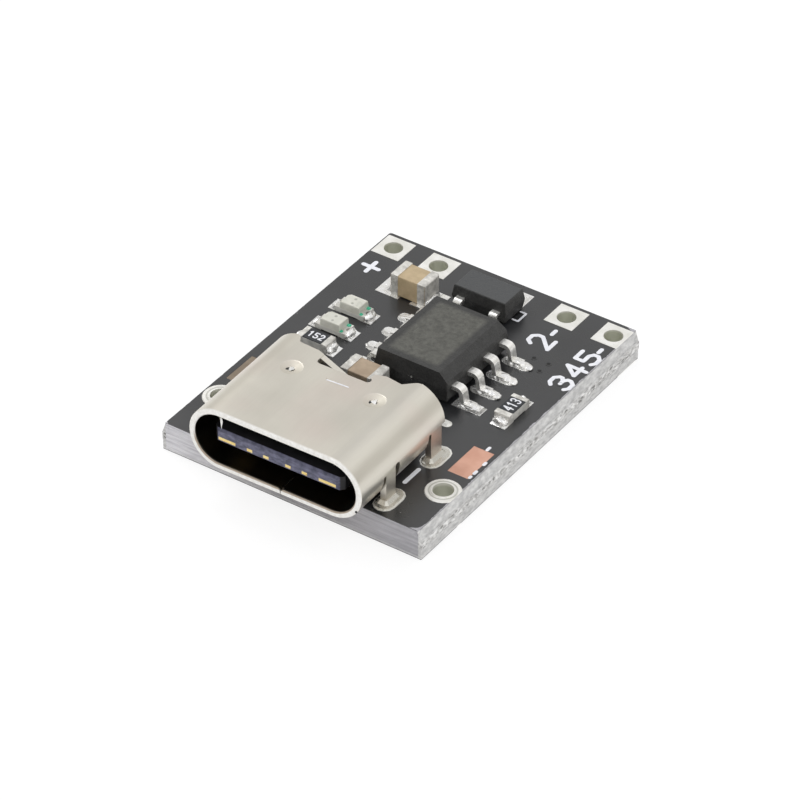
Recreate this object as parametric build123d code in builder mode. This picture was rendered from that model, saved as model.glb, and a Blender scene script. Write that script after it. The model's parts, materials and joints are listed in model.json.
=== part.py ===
from build123d import *
import os

# Charger board with a charging receptacle at its front edge.
# Millimetres, +Z up. The mouth faces -Y and the origin is the middle of the board's underside.

# Board
board_top_w, board_l, board_t = 13.34, 17.38, 1.5
mask_t = 0.03
score_depth, score_slope = 0.5, 0.15
web_out, web_low = 0.19, 0.6
layout_x = 0.12  # copper and print stand this far right of the snapped outline
top_x = board_top_w / 2
front_edge, rear_edge = -board_l / 2, board_l / 2
web_x = top_x + web_out
base_x = web_x - 0.03
core_top = board_t - mask_t
tin_over_mask = 0.02
land_top = board_t + tin_over_mask
plating = 0.025

# Terminals
terminal_size, terminal_bore = 1.5, 0.9
terminal_side_edge, terminal_rear_edge, terminal_pitch = 0.71, 0.95, 2.49
terminal_y = rear_edge - terminal_rear_edge
outer_terminal_x = top_x - terminal_side_edge
inner_terminal_x = outer_terminal_x - terminal_pitch
terminal_x = {
    "out_plus_pad": -outer_terminal_x,
    "cell_plus_pad": -inner_terminal_x,
    "cell_minus_pad": inner_terminal_x,
    "out_minus_pad": outer_terminal_x,
}
input_ring, input_bore = 1.66, 0.95
input_rise = 0.05
input_side_edge, input_front_edge = 0.77, 2.87
input_y = front_edge + input_front_edge
input_x = {"input_pad_left": input_side_edge - top_x, "input_pad_right": top_x - input_side_edge}
ring_steps = 24

# Receptacle. It is drawn straight, and seated a little turned on the board.
shell_w, shell_l, shell_h, sheet = 8.94, 6.52, 3.16, 0.3
overhang = 1.31
shell_front = front_edge - overhang
shell_back = shell_front + shell_l
seat_x, seat_y, seat_turn = 0.06, shell_front + 3.2, 0.9
shell_mid = board_t + shell_h / 2
shell_top = board_t + shell_h
wall_in = shell_w / 2 - sheet / 2
leg_spans = {
    "front": (shell_front + 1.93, shell_front + 2.65),
    "rear": (shell_back - 1.09, shell_back - 0.26),
}
leg_slit, leg_cut, leg_cut_out = 0.16, 2.02, 0.38
leg_tip, leg_shoulder = 0.5, 0.08
slot_bore_w, slot_bore_l = 0.6, 1.3
slot_ring = 0.22
slot_y = {"front": shell_front + 2.38, "rear": shell_back - 0.57}
slot_x = wall_in
tongue_side_gap = 0.825
tongue_x, tongue_t = -0.06, 0.7
tongue_w = shell_w - 2 * (sheet + tongue_side_gap)
tongue_front = shell_front + 0.3
latch_y, latch_l, latch_depth = tongue_front + 1.8, 0.7, 0.2
insulator_face, insulator_back = shell_back - 1.37, shell_back - 0.94
foot_back, foot_w, foot_h = shell_back - 0.24, tongue_w - 0.09, 1.1
floor_gap = 0.15
fit_gap = 0.02
contact_t, contact_tuck = 0.15, 0.145
ground_w, line_w = 0.88, 0.28
# Contacts stand at these shares of the tongue's width from its middle
ground_at, power_at, signal_at = 0.3886 * tongue_w, 0.2123 * tongue_w, 0.0852 * tongue_w
contact_rows = {
    "contact_ground_left": (-ground_at, ground_w),
    "contact_power_left": (-power_at, line_w),
    "contact_signal_left": (-signal_at, line_w),
    "contact_signal_right": (signal_at, line_w),
    "contact_power_right": (power_at, line_w),
    "contact_ground_right": (ground_at, ground_w),
}
tail_end = shell_back + 0.28
dimple_xs, dimple_y = (-2.05, 2.26), shell_back - 2.17
dish_r, dish_depth, pit_r, pit_depth = 0.52, 0.11, 0.13, 0.13
finger_w, finger_slot_w, finger_slot = 2.62, 2.76, 0.34
seam_x, seam_w = 0.3, 0.05
# Rear edge of the roof: distance from the middle, and depth of the notch there
rear_notch = [(-3.2, -0.2), (-3.16, 0.02), (-2.98, 0.1), (-2.78, 0.45), (-1.75, 0.51), (-1.35, 0.64),
              (1.25, 0.64), (1.76, 0.46), (2.6, 0.58), (3.12, 0.09), (3.3, 0.02), (3.34, -0.2)]

# Charger circuit
ic_x, ic_y = 0.9, 1.65
ic_w, ic_l, ic_top, ic_bottom = 3.9, 4.9, 1.6, 0.15
lead_pitch, lead_w, lead_t, lead_span = 1.27, 0.42, 0.2, 6.0
lead_level = 0.86
# Middle and length of the lands on each side
ic_lands, ic_land_w = {-1: (2.8, 1.6), 1: (2.75, 1.5)}, 0.6

# Protection circuit
pc_x, pc_y = 0.25, 6.4
pc_l, pc_w, pc_top, pc_bottom = 2.9, 1.6, 1.15, 0.1
pc_pitch, pc_lead_w, pc_lead_t, pc_span = 0.95, 0.4, 0.15, 2.8
pc_land_w, pc_land_l, pc_land_at = 0.7, 1.05, 1.3

# Chip parts: middle, length, width, height
cell_cap = (-3.02, 5.32, 1.9, 1.22, 1.15)
input_cap = (-0.9, -1.72, 1.9, 1.2, 1.15)
chip_l, chip_w = 1.6, 0.8
lamp_x, lamp_ys = -4.52, {"charge_lamp": 2.67, "full_lamp": 1.12}
lamp_base_t, lamp_top, lens_l = 0.25, 0.62, 1.06
lamp_resistor = (-4.52, -0.28)
current_resistor = (5.43, 0.43)
resistor_t = 0.45
chip_land_out, chip_land_in = 1.17, 0.45

os.makedirs("parts", exist_ok=True)


def keep(part, label):
    part.label = label
    export_step(part, f"parts/{label}.step")


def stadium(length, width, turn=0, mode=Mode.ADD):
    """Slot outline given its whole length and width, with six straight steps round each end."""
    end = Vector((length - width) / 2, 0)
    right = [end + Vector(width / 2, 0).rotate(Axis.Z, angle) for angle in range(-90, 91, 30)]
    Polygon(*right, *[-point for point in right], rotation=turn, mode=mode)


receptacle_seat = Pos(seat_x, seat_y, 0) * Rot(0, 0, seat_turn) * Pos(0, -seat_y, 0)


def on_board(x, y):
    """Where a point of the straight receptacle comes to lie on the board."""
    spot = (receptacle_seat * Pos(x, y, 0)).position
    return spot.X, spot.Y


# Where copper is open on the upper side: x, y, size in x, size in y
rows_4 = [(1.5 - i) * lead_pitch for i in range(4)]
pc_rows = [(-pc_pitch, -1), (pc_pitch, -1), (-pc_pitch, 1), (0, 1), (pc_pitch, 1)]
cell_cap_lands = [(-4.07, 5.32, 1.24, 1.5), (-2.4, 5.32, 0.84, 1.5)]
input_cap_lands = [(-1.72, -1.72, 0.9, 1.3), (-0.04, -1.72, 0.9, 1.3)]
chip_land_mid = (chip_land_out + chip_land_in) / 2
chip_land_size = chip_land_out - chip_land_in
# Copper beside the rear slots: side, gap to the slot's ring, gap to the board's edge, place and size in y
copper_spans = {
    "copper_land_left": (-1, 0.605, 0.295, 0.45, 1.96),
    "copper_land_right": (1, 0.405, 0.255, 0.57, 2.09),
}
copper_lands = {}
for label, (side, ring_gap, edge_gap, y, h) in copper_spans.items():
    inner_x = layout_x * side + slot_x + slot_bore_w / 2 + slot_ring + ring_gap
    outer_x = top_x - edge_gap
    copper_lands[label] = (side * (inner_x + outer_x) / 2, slot_y["rear"] + y, outer_x - inner_x, h)
spare_land = (-1.755, 5.83, 0.41, 0.46)
test_land = (3.4, -1.82, 0.72, 0.46)
tail_land_y, tail_land_l = shell_back - 0.02, 0.95
chip_lands = [
    (lamp_x + side * chip_land_mid, y, chip_land_size, chip_w)
    for y in (*lamp_ys.values(), lamp_resistor[1])
    for side in (-1, 1)
] + [
    (current_resistor[0], current_resistor[1] + side * chip_land_mid, chip_w, chip_land_size)
    for side in (-1, 1)
]

# Board

with BuildPart() as pcb_laminate:
    # Snapped edges keep the two score faces and the broken web between them
    with BuildSketch(Plane.XZ.offset(-board_l / 2)):
        with BuildLine():
            Polyline(
                (0, core_top),
                (top_x, core_top),
                (top_x + score_slope, board_t - score_depth),
                (web_x, board_t - score_depth - 0.06),
                (web_x, web_low),
                (base_x, web_low - 0.1),
                (base_x, mask_t),
                (0, mask_t),
                close=True,
            )
        make_face()
        mirror(about=Plane.YZ)
    extrude(amount=board_l)
    # Drillings and slots carry their plating, so they are cut to its outside
    with BuildSketch(Plane.XY):
        with Locations([(layout_x + x, terminal_y) for x in terminal_x.values()]):
            RegularPolygon(terminal_bore / 2 + plating, ring_steps)
        with Locations([(layout_x + x, input_y) for x in input_x.values()]):
            RegularPolygon(input_bore / 2 + plating, ring_steps)
        with Locations([(layout_x + s * slot_x, y) for s in (-1, 1) for y in slot_y.values()]):
            stadium(slot_bore_l + 2 * plating, slot_bore_w + 2 * plating, 90)
    extrude(amount=board_t, mode=Mode.SUBTRACT)
keep(pcb_laminate.part, "pcb_laminate")


def open_plated_pads():
    """Mask openings over the plated pads, the same above and below."""
    with Locations([(layout_x + x, terminal_y) for x in terminal_x.values()]):
        Rectangle(terminal_size, terminal_size, mode=Mode.SUBTRACT)
    with Locations([(layout_x + x, input_y) for x in input_x.values()]):
        RegularPolygon(input_ring / 2, ring_steps, mode=Mode.SUBTRACT)
    with Locations([(layout_x + s * slot_x, y) for s in (-1, 1) for y in slot_y.values()]):
        stadium(slot_bore_l + 2 * slot_ring, slot_bore_w + 2 * slot_ring, 90, Mode.SUBTRACT)


with BuildPart() as solder_mask_top:
    with BuildSketch(Plane.XY.offset(core_top)):
        Rectangle(board_top_w, board_l)
        open_plated_pads()
        for x, y, w, h in [*cell_cap_lands, *input_cap_lands, *chip_lands, spare_land,
                           *copper_lands.values()]:
            with Locations((x, y)):
                Rectangle(w, h, mode=Mode.SUBTRACT)
        with Locations(test_land[:2]):
            stadium(*test_land[2:], mode=Mode.SUBTRACT)
        for row in rows_4:
            for side, (land_at, land_l) in ic_lands.items():
                with Locations((ic_x + side * land_at, ic_y + row)):
                    if side == 1 and row == rows_4[-1]:
                        Rectangle(land_l, ic_land_w, mode=Mode.SUBTRACT)
                    else:
                        stadium(land_l, ic_land_w, mode=Mode.SUBTRACT)
        for x, side in pc_rows:
            with Locations((pc_x + x, pc_y + side * pc_land_at)):
                Rectangle(pc_land_w, pc_land_l, mode=Mode.SUBTRACT)
        for x, w in contact_rows.values():
            with Locations(on_board(tongue_x + x, tail_land_y)):
                Rectangle(w + 0.12, tail_land_l, mode=Mode.SUBTRACT)
    extrude(amount=mask_t)
keep(solder_mask_top.part, "solder_mask_top")

with BuildPart() as solder_mask_bottom:
    with BuildSketch(Plane.XY):
        Rectangle(2 * base_x, board_l)
        open_plated_pads()
    extrude(amount=mask_t)
keep(solder_mask_bottom.part, "solder_mask_bottom")

# Plated terminals: a pad on each face joined by the hole's barrel. The score cuts the outer pads.
for label, x in terminal_x.items():
    with BuildPart() as terminal:
        for level, rise, face_w in ((0, mask_t, 2 * base_x), (core_top, land_top - core_top, board_top_w)):
            with BuildSketch(Plane.XY.offset(level)):
                with Locations((layout_x + x, terminal_y)):
                    Rectangle(terminal_size, terminal_size)
                Rectangle(face_w, board_l, mode=Mode.INTERSECT)
            extrude(amount=rise)
        with BuildSketch(Plane.XY):
            with Locations((layout_x + x, terminal_y)):
                RegularPolygon(terminal_bore / 2 + plating, ring_steps)
        extrude(amount=core_top)
        with Locations((layout_x + x, terminal_y, 0)):
            Cylinder(terminal_bore / 2, board_t + 1, align=(Align.CENTER, Align.CENTER, Align.MIN),
                     mode=Mode.SUBTRACT)
    keep(terminal.part, label)

for label, x in input_x.items():
    with BuildPart() as input_pad:
        for level, rise, face_w in ((0, mask_t, 2 * base_x), (core_top, mask_t + input_rise, board_top_w)):
            with BuildSketch(Plane.XY.offset(level)):
                with Locations((layout_x + x, input_y)):
                    RegularPolygon(input_ring / 2, ring_steps)
                Rectangle(face_w, board_l, mode=Mode.INTERSECT)
            extrude(amount=rise)
        # Tin draws back from the rim of the ring, and stands highest round the hole
        rim = input_pad.faces().sort_by(Axis.Z)[-1]
        chamfer(rim.edges(), 0.035)
        with BuildSketch(Plane.XY.offset(board_t)):
            with Locations((layout_x + x, input_y)):
                RegularPolygon(input_bore / 2 + 0.12, ring_steps)
        extrude(amount=input_rise + 0.03, taper=35)
        with BuildSketch(Plane.XY):
            with Locations((layout_x + x, input_y)):
                RegularPolygon(input_bore / 2 + plating, ring_steps)
        extrude(amount=core_top)
        with Locations((layout_x + x, input_y, 0)):
            Cylinder(input_bore / 2, board_t + 1, align=(Align.CENTER, Align.CENTER, Align.MIN),
                     mode=Mode.SUBTRACT)
    keep(input_pad.part, label)

for label, (x, y, w, h) in copper_lands.items():
    with BuildPart() as copper_land:
        with BuildSketch(Plane.XY.offset(core_top)):
            with Locations((x, y)):
                Rectangle(w, h)
        extrude(amount=mask_t - 0.005)
    keep(copper_land.part, label)

with BuildPart() as spare_tinned_land:
    with BuildSketch(Plane.XY.offset(core_top)):
        with Locations(spare_land[:2]):
            Rectangle(*spare_land[2:])
    extrude(amount=land_top - core_top)
keep(spare_tinned_land.part, "spare_tinned_land")

with BuildPart() as test_tinned_land:
    with BuildSketch(Plane.XY.offset(core_top)):
        with Locations(test_land[:2]):
            stadium(*test_land[2:])
    extrude(amount=land_top - core_top)
    # Tin stands up in the middle
    with BuildSketch(Plane.XY.offset(land_top)):
        with Locations(test_land[:2]):
            stadium(test_land[2] - 0.06, test_land[3] - 0.06)
    extrude(amount=0.07, taper=50)
keep(test_tinned_land.part, "test_tinned_land")

# Receptacle shell

shell_plane = Plane(origin=(0, shell_back, shell_mid), x_dir=(1, 0, 0), z_dir=(0, -1, 0))


def punch(grow):
    """What a dimple's punch sweeps, a shallow dish with a pointed pit, grown sideways for its far side."""
    with BuildPart() as tool:
        with BuildSketch(Plane.XZ):
            with BuildLine():
                Polyline(
                    (0, sheet / 2),
                    (dish_r + grow, sheet / 2),
                    (dish_r + grow, 0),
                    (pit_r + grow / 2, -dish_depth),
                    (0.02 + grow / 4, -dish_depth - pit_depth),
                    (0, -dish_depth - pit_depth),
                    close=True,
                )
            make_face()
        revolve(axis=Axis.Z)
    return tool.part


with BuildPart() as receptacle_shell:
    # Sheet rolled into a tube
    with BuildSketch(shell_plane):
        SlotOverall(shell_w, shell_h)
        SlotOverall(shell_w - 2 * sheet, shell_h - 2 * sheet, mode=Mode.SUBTRACT)
    extrude(amount=shell_back - shell_front)
    mouth = receptacle_shell.faces().sort_by(Axis.Y)[0]
    chamfer(mouth.outer_wire().edges(), 0.07)
    mouth = receptacle_shell.faces().sort_by(Axis.Y)[0]
    chamfer(mouth.inner_wires()[0].edges(), 0.05)
    # Rear edge of the roof between its two lobes
    with BuildSketch(Plane.XY.offset(shell_mid)):
        with BuildLine():
            FilletPolyline(
                *[(x, shell_back - depth) for x, depth in rear_notch],
                radius=0.09,
                close=True,
            )
        make_face()
    extrude(amount=shell_h, mode=Mode.SUBTRACT)
    # Slot that frees the retaining finger
    with BuildSketch(Plane.XY.offset(shell_mid)):
        with Locations((0, shell_back - 1.12)):
            stadium(finger_slot_w, finger_slot)
        with Locations((-0.07, shell_back - 0.85)):
            Rectangle(finger_w, 0.6)
    extrude(amount=shell_h, mode=Mode.SUBTRACT)
    # Finger pressed down behind the insulator
    with BuildSketch(Plane(origin=(0, shell_back - 0.62, shell_top), x_dir=(1, 0, 0), z_dir=(0, -1, 0))):
        with BuildLine():
            Polyline(
                (-1.6, 0),
                (-1.45, 0),
                (0.35, -0.86),
                (0.22, -1.13),
                (-1.52, -sheet),
                (-1.6, -sheet),
                close=True,
            )
        make_face()
    extrude(amount=0.3)
    # Floor stops short of the tails, and its two edges meet in a seam
    with Locations((0, shell_back, board_t)):
        Box(foot_w + 2 * floor_gap, 2 * (shell_back - insulator_face + 0.55), 2 * sheet + 0.2,
            mode=Mode.SUBTRACT)
    with Locations((seam_x, (shell_front + shell_back) / 2, board_t)):
        Box(seam_w, shell_l + 1, 2 * sheet + 0.2, mode=Mode.SUBTRACT)
        with Locations((0, 0.06 - shell_l / 2, sheet)):
            Box(0.16, 0.3, 0.16, rotation=(0, 45, 0), mode=Mode.SUBTRACT)
    # Legs are sheared out of the lower wall and hang straight down
    for side in (-1, 1):
        for where, (y0, y1) in leg_spans.items():
            slit_behind = 0.32 if where == "front" else 0.4
            cut_w = leg_cut + leg_cut_out
            cut_x = side * (shell_w / 2 - leg_cut + cut_w / 2)
            with Locations((cut_x, (y0 - leg_slit + y1 + slit_behind) / 2, shell_mid - 1)):
                Box(cut_w, y1 - y0 + leg_slit + slit_behind, 2, mode=Mode.SUBTRACT)
            if where == "front":
                with Locations((side * (shell_w / 2 - 0.2), y1 + slit_behind / 2, shell_mid)):
                    Cylinder(slit_behind / 2, 1, rotation=(0, 90, 0), mode=Mode.SUBTRACT)
            with BuildSketch(Plane.YZ.offset(side * wall_in)):
                with BuildLine():
                    Polyline(
                        (y0, shell_mid),
                        (y0, board_t + 0.25),
                        (y0 + leg_shoulder, board_t + 0.15),
                        (y0 + leg_shoulder, leg_tip + 0.25),
                        (y0 + leg_shoulder + 0.12, leg_tip),
                        (y1 - leg_shoulder - 0.12, leg_tip),
                        (y1 - leg_shoulder, leg_tip + 0.25),
                        (y1 - leg_shoulder, board_t + 0.15),
                        (y1, board_t + 0.25),
                        (y1, shell_mid),
                        close=True,
                    )
                make_face()
            extrude(amount=sheet / 2, both=True)
    # Dimples pressed in from above
    with Locations([(x, dimple_y, shell_top - sheet) for x in dimple_xs]):
        add(punch(0.15))
    with Locations([(x, dimple_y, shell_top) for x in dimple_xs]):
        add(punch(0), mode=Mode.SUBTRACT)
    # Lance mark
    with Locations((0.23, shell_back - 2, shell_top)):
        Box(1.14, 0.06, 0.06, rotation=(45, 0, 0), mode=Mode.SUBTRACT)
seated_shell = receptacle_seat * receptacle_shell.part
keep(seated_shell, "receptacle_shell")

# Stiffening plate with a latch notch in each side
plate_t, plate_front = 0.15, tongue_front + 0.45
with BuildPart() as tongue_plate:
    with BuildSketch(Plane.XY.offset(shell_mid - plate_t / 2)):
        with Locations((tongue_x, (plate_front + insulator_back) / 2)):
            Rectangle(tongue_w - 0.1, insulator_back - plate_front)
        fillet(vertices().group_by(Axis.Y)[0], 0.35)
        with Locations([(tongue_x + side * tongue_w / 2, latch_y) for side in (-1, 1)]):
            Rectangle(2 * latch_depth + 0.1, latch_l + 0.2, mode=Mode.SUBTRACT)
    extrude(amount=plate_t)
keep(receptacle_seat * tongue_plate.part, "tongue_plate")

# Contacts: flat on the tongue's underside, down behind the insulator, out on the board
contact_level = shell_mid - tongue_t / 2
contacts = []
for label, (x, w) in contact_rows.items():
    with BuildPart() as contact:
        with BuildSketch(Plane.YZ.offset(tongue_x + x)):
            with BuildLine():
                Polyline(
                    (tongue_front, contact_level + contact_tuck),
                    (tongue_front + 0.25, contact_level + contact_tuck),
                    (tongue_front + 0.55, contact_level),
                    (insulator_back + 0.32, contact_level),
                    (insulator_back + 0.395, (contact_level + land_top) / 2),
                )
                FilletPolyline(
                    (insulator_back + 0.395, (contact_level + land_top) / 2),
                    (insulator_back + 0.47, land_top),
                    (tail_end, land_top),
                    radius=0.18,
                )
                offset(amount=contact_t, side=Side.LEFT, kind=Kind.INTERSECTION)
            make_face()
        extrude(amount=w / 2, both=True)
    keep(receptacle_seat * contact.part, label)
    contacts.append(contact.part)

with BuildPart() as receptacle_insulator:
    # Wall that closes the rear of the shell
    with BuildSketch(Plane(origin=(0, insulator_back, shell_mid), x_dir=(1, 0, 0), z_dir=(0, -1, 0))):
        stadium(shell_w - 2 * sheet - 2 * fit_gap, shell_h - 2 * sheet - 2 * fit_gap)
    extrude(amount=insulator_back - insulator_face)
    # Foot over the tails
    with BuildSketch(Plane(origin=(0, foot_back, board_t + 0.9), x_dir=(1, 0, 0), z_dir=(0, -1, 0))):
        Rectangle(foot_w, foot_h)
        chamfer(vertices().group_by(Axis.Y)[-1], 0.2)
    extrude(amount=foot_back - insulator_back)
    # Tongue, thicker at its root
    with BuildSketch(Plane.XY.offset(shell_mid)):
        with Locations((tongue_x, (tongue_front + insulator_face) / 2)):
            Rectangle(tongue_w, insulator_face - tongue_front)
        chamfer(vertices().group_by(Axis.Y)[0], 0.29)
        with Locations([(tongue_x + side * tongue_w / 2, latch_y) for side in (-1, 1)]):
            Rectangle(2 * latch_depth, latch_l, mode=Mode.SUBTRACT)
    extrude(amount=tongue_t / 2, both=True)
    tip = receptacle_insulator.faces().sort_by(Axis.Y)[0]
    chamfer(tip.edges().filter_by(Axis.X), 0.1)
    with Locations((tongue_x, insulator_face - 0.35, shell_mid)):
        Box(tongue_w, 0.7, 1.25)
    # Seats of the inserts
    add(tongue_plate.part, mode=Mode.SUBTRACT)
    for seat in contacts:
        add(seat, mode=Mode.SUBTRACT)
keep(receptacle_seat * receptacle_insulator.part, "receptacle_insulator")

# Plated slots and the solder round each leg
for side_name, side in (("left", -1), ("right", 1)):
    for where, y in slot_y.items():
        y0, y1 = leg_spans[where]
        with BuildPart() as leg_slot:
            for level, rise in ((0, mask_t), (core_top, land_top - core_top)):
                with BuildSketch(Plane.XY.offset(level)):
                    with Locations((layout_x + side * slot_x, y)):
                        stadium(slot_bore_l + 2 * slot_ring, slot_bore_w + 2 * slot_ring, 90)
                extrude(amount=rise)
            with BuildSketch(Plane.XY):
                with Locations((layout_x + side * slot_x, y)):
                    stadium(slot_bore_l + 2 * plating, slot_bore_w + 2 * plating, 90)
            extrude(amount=core_top)
            with BuildSketch(Plane.XY):
                with Locations((layout_x + side * slot_x, y)):
                    stadium(slot_bore_l, slot_bore_w, 90)
            extrude(amount=board_t + 1, mode=Mode.SUBTRACT)
        keep(leg_slot.part, f"leg_slot_{where}_{side_name}")

        with BuildPart() as leg_solder:
            with BuildSketch(Plane.XY.offset(0.25)):
                with Locations((layout_x + side * slot_x, y)):
                    stadium(slot_bore_l, slot_bore_w, 90)
            extrude(amount=land_top - 0.25)
            # Collar that climbs the leg
            with BuildSketch(Plane.XY.offset(land_top)):
                with Locations((layout_x + side * slot_x, y)):
                    stadium(slot_bore_l + 0.26, slot_bore_w + 0.26, 90)
            extrude(amount=0.06)
            with BuildSketch(Plane.XY.offset(land_top + 0.06)):
                with Locations(on_board(side * wall_in, (y0 + y1) / 2)):
                    Rectangle(sheet + 0.36, y1 - y0 + 0.36)
                    chamfer(vertices(), 0.14)
            extrude(amount=0.16, taper=42)
            add(seated_shell, mode=Mode.SUBTRACT)
        keep(leg_solder.part, f"leg_solder_{where}_{side_name}")

with BuildPart() as tail_solder:
    for x, w in contact_rows.values():
        with BuildSketch(Plane.XY.offset(core_top)):
            with Locations(on_board(tongue_x + x, tail_land_y)):
                Rectangle(w + 0.12, tail_land_l)
        extrude(amount=land_top - core_top)
        with BuildSketch(Plane.XY.offset(land_top)):
            with Locations(on_board(tongue_x + x, tail_end + 0.02)):
                Rectangle(w + 0.08, 0.28)
        extrude(amount=0.14, taper=35)
    for seat in contacts:
        add(receptacle_seat * seat, mode=Mode.SUBTRACT)
keep(tail_solder.part, "tail_solder")

# Charger circuit

ic_leads = {}
for side_name, side in (("left", -1), ("right", 1)):
    with BuildPart() as ic_row:
        # One gull wing, from inside the body to the foot on its land
        with BuildSketch(Plane(origin=(ic_x, ic_y, board_t), x_dir=(side, 0, 0), z_dir=(0, -side, 0))):
            with BuildLine():
                FilletPolyline(
                    (ic_w / 2 - 0.25, lead_level - lead_t / 2),
                    (2.32, lead_level - lead_t / 2),
                    (2.46, tin_over_mask),
                    (lead_span / 2 + 0.05, tin_over_mask),
                    radius=0.12,
                )
                offset(amount=lead_t, side=Side.LEFT)
            make_face()
        extrude(amount=lead_w / 2, both=True)
        wing = ic_row.part
    with BuildPart() as ic_row:
        with Locations([(0, row, 0) for row in rows_4]):
            add(wing)
    label = f"charger_leads_{side_name}"
    ic_leads[label] = ic_row.part
    keep(ic_row.part, label)

with BuildPart() as charger_body:
    parting = board_t + lead_level
    for height, slope in ((ic_top - lead_level, 9), (lead_level - ic_bottom, 9)):
        up = 1 if height == ic_top - lead_level else -1
        with BuildSketch(Plane(origin=(ic_x, ic_y, parting), z_dir=(0, 0, up), x_dir=(1, 0, 0))):
            Rectangle(ic_w, ic_l)
        extrude(amount=height, taper=slope)
    # Bevel that marks the first lead's side
    roof = charger_body.faces().sort_by(Axis.Z)[-1]
    chamfer(roof.edges().filter_by(Axis.Y).sort_by(Axis.X)[-1], 0.38)
    fillet(charger_body.edges().filter_by(lambda e: e.center().Z > parting + 0.1
           and abs(e.center().Z - board_t - ic_top) > 0.3 and e.length < 1.2), 0.06)
    # Cut tie bar at each end, then the seats of the leads
    with Locations([(ic_x, ic_y + end * ic_l / 2, parting) for end in (-1, 1)]):
        Box(0.3, 0.04, 0.1)
    for row in ic_leads.values():
        add(row, mode=Mode.SUBTRACT)
keep(charger_body.part, "charger_body")

with BuildPart() as charger_solder:
    for row in rows_4:
        for side, (land_at, land_l) in ic_lands.items():
            first = side == 1 and row == rows_4[-1]
            with BuildSketch(Plane.XY.offset(core_top)):
                with Locations((ic_x + side * land_at, ic_y + row)):
                    if first:
                        Rectangle(land_l, ic_land_w)
                    else:
                        stadium(land_l, ic_land_w)
            extrude(amount=land_top - core_top)
            # Bead over the foot's toe and along its sides
            bead_l = land_l - 0.3
            with BuildSketch(Plane.XY.offset(land_top)):
                with Locations((ic_x + side * (land_at + (land_l - bead_l) / 2 - 0.03), ic_y + row)):
                    if first:
                        Rectangle(bead_l, ic_land_w - 0.04)
                    else:
                        stadium(bead_l, ic_land_w - 0.04)
            extrude(amount=0.13, taper=30)
    for row in ic_leads.values():
        add(row, mode=Mode.SUBTRACT)
keep(charger_solder.part, "charger_solder")

# Protection circuit

with BuildPart() as protection_leads:
    for x, side in pc_rows:
        with BuildSketch(Plane(origin=(pc_x + x, pc_y, board_t), x_dir=(0, side, 0), z_dir=(side, 0, 0))):
            with BuildLine():
                FilletPolyline(
                    (pc_w / 2 - 0.2, 0.6 - pc_lead_t / 2),
                    (pc_w / 2 + 0.22, 0.6 - pc_lead_t / 2),
                    (pc_w / 2 + 0.28, tin_over_mask),
                    (pc_span / 2 + 0.05, tin_over_mask),
                    radius=0.08,
                )
                offset(amount=pc_lead_t, side=Side.LEFT)
            make_face()
        extrude(amount=pc_lead_w / 2, both=True)
keep(protection_leads.part, "protection_leads")

with BuildPart() as protection_body:
    for height, up in ((pc_top - 0.6, 1), (0.6 - pc_bottom, -1)):
        with BuildSketch(Plane(origin=(pc_x, pc_y, board_t + 0.6), z_dir=(0, 0, up), x_dir=(1, 0, 0))):
            Rectangle(pc_l, pc_w)
        extrude(amount=height, taper=9)
    roof = protection_body.faces().sort_by(Axis.Z)[-1]
    fillet(roof.edges(), 0.07)
    add(protection_leads.part, mode=Mode.SUBTRACT)
keep(protection_body.part, "protection_body")

with BuildPart() as protection_solder:
    for x, side in pc_rows:
        with BuildSketch(Plane.XY.offset(core_top)):
            with Locations((pc_x + x, pc_y + side * pc_land_at)):
                Rectangle(pc_land_w, pc_land_l)
        extrude(amount=land_top - core_top)
        with BuildSketch(Plane.XY.offset(land_top)):
            with Locations((pc_x + x, pc_y + side * (pc_land_at + 0.02))):
                Rectangle(pc_lead_w + 0.2, 0.76)
        extrude(amount=0.11, taper=32)
    add(protection_leads.part, mode=Mode.SUBTRACT)
keep(protection_solder.part, "protection_solder")


# Chip parts. A solder fillet is a land with a concave wedge drawn up the part's end.

def land_and_wedge(land, face_x, tip_x, width, rise, axis="x"):
    """Land plate, and a wedge from the part's end face out to the land's end."""
    x, y, w, h = land
    if axis == "x":
        side = Plane(origin=(0, y, land_top), x_dir=(1, 0, 0), z_dir=(0, -1, 0))
    else:
        side = Plane(origin=(x, 0, land_top), x_dir=(0, 1, 0), z_dir=(1, 0, 0))
    chord = Vector(face_x - tip_x, rise)
    inward = Vector(-rise, face_x - tip_x).normalized() * (1 if face_x < tip_x else -1)
    mid = Vector((face_x + tip_x) / 2, rise / 2) + inward * 0.22 * min(abs(chord.X), chord.Y)
    with BuildPart() as joint:
        with BuildSketch(Plane.XY.offset(core_top)):
            with Locations((x, y)):
                Rectangle(w, h)
        extrude(amount=land_top - core_top)
        with BuildSketch(side):
            with BuildLine():
                Polyline((face_x, rise), (face_x, 0), (tip_x, 0))
                ThreePointArc((tip_x, 0), mid, (face_x, rise))
            make_face()
        extrude(amount=width / 2, both=True)
    return joint.part


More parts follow.
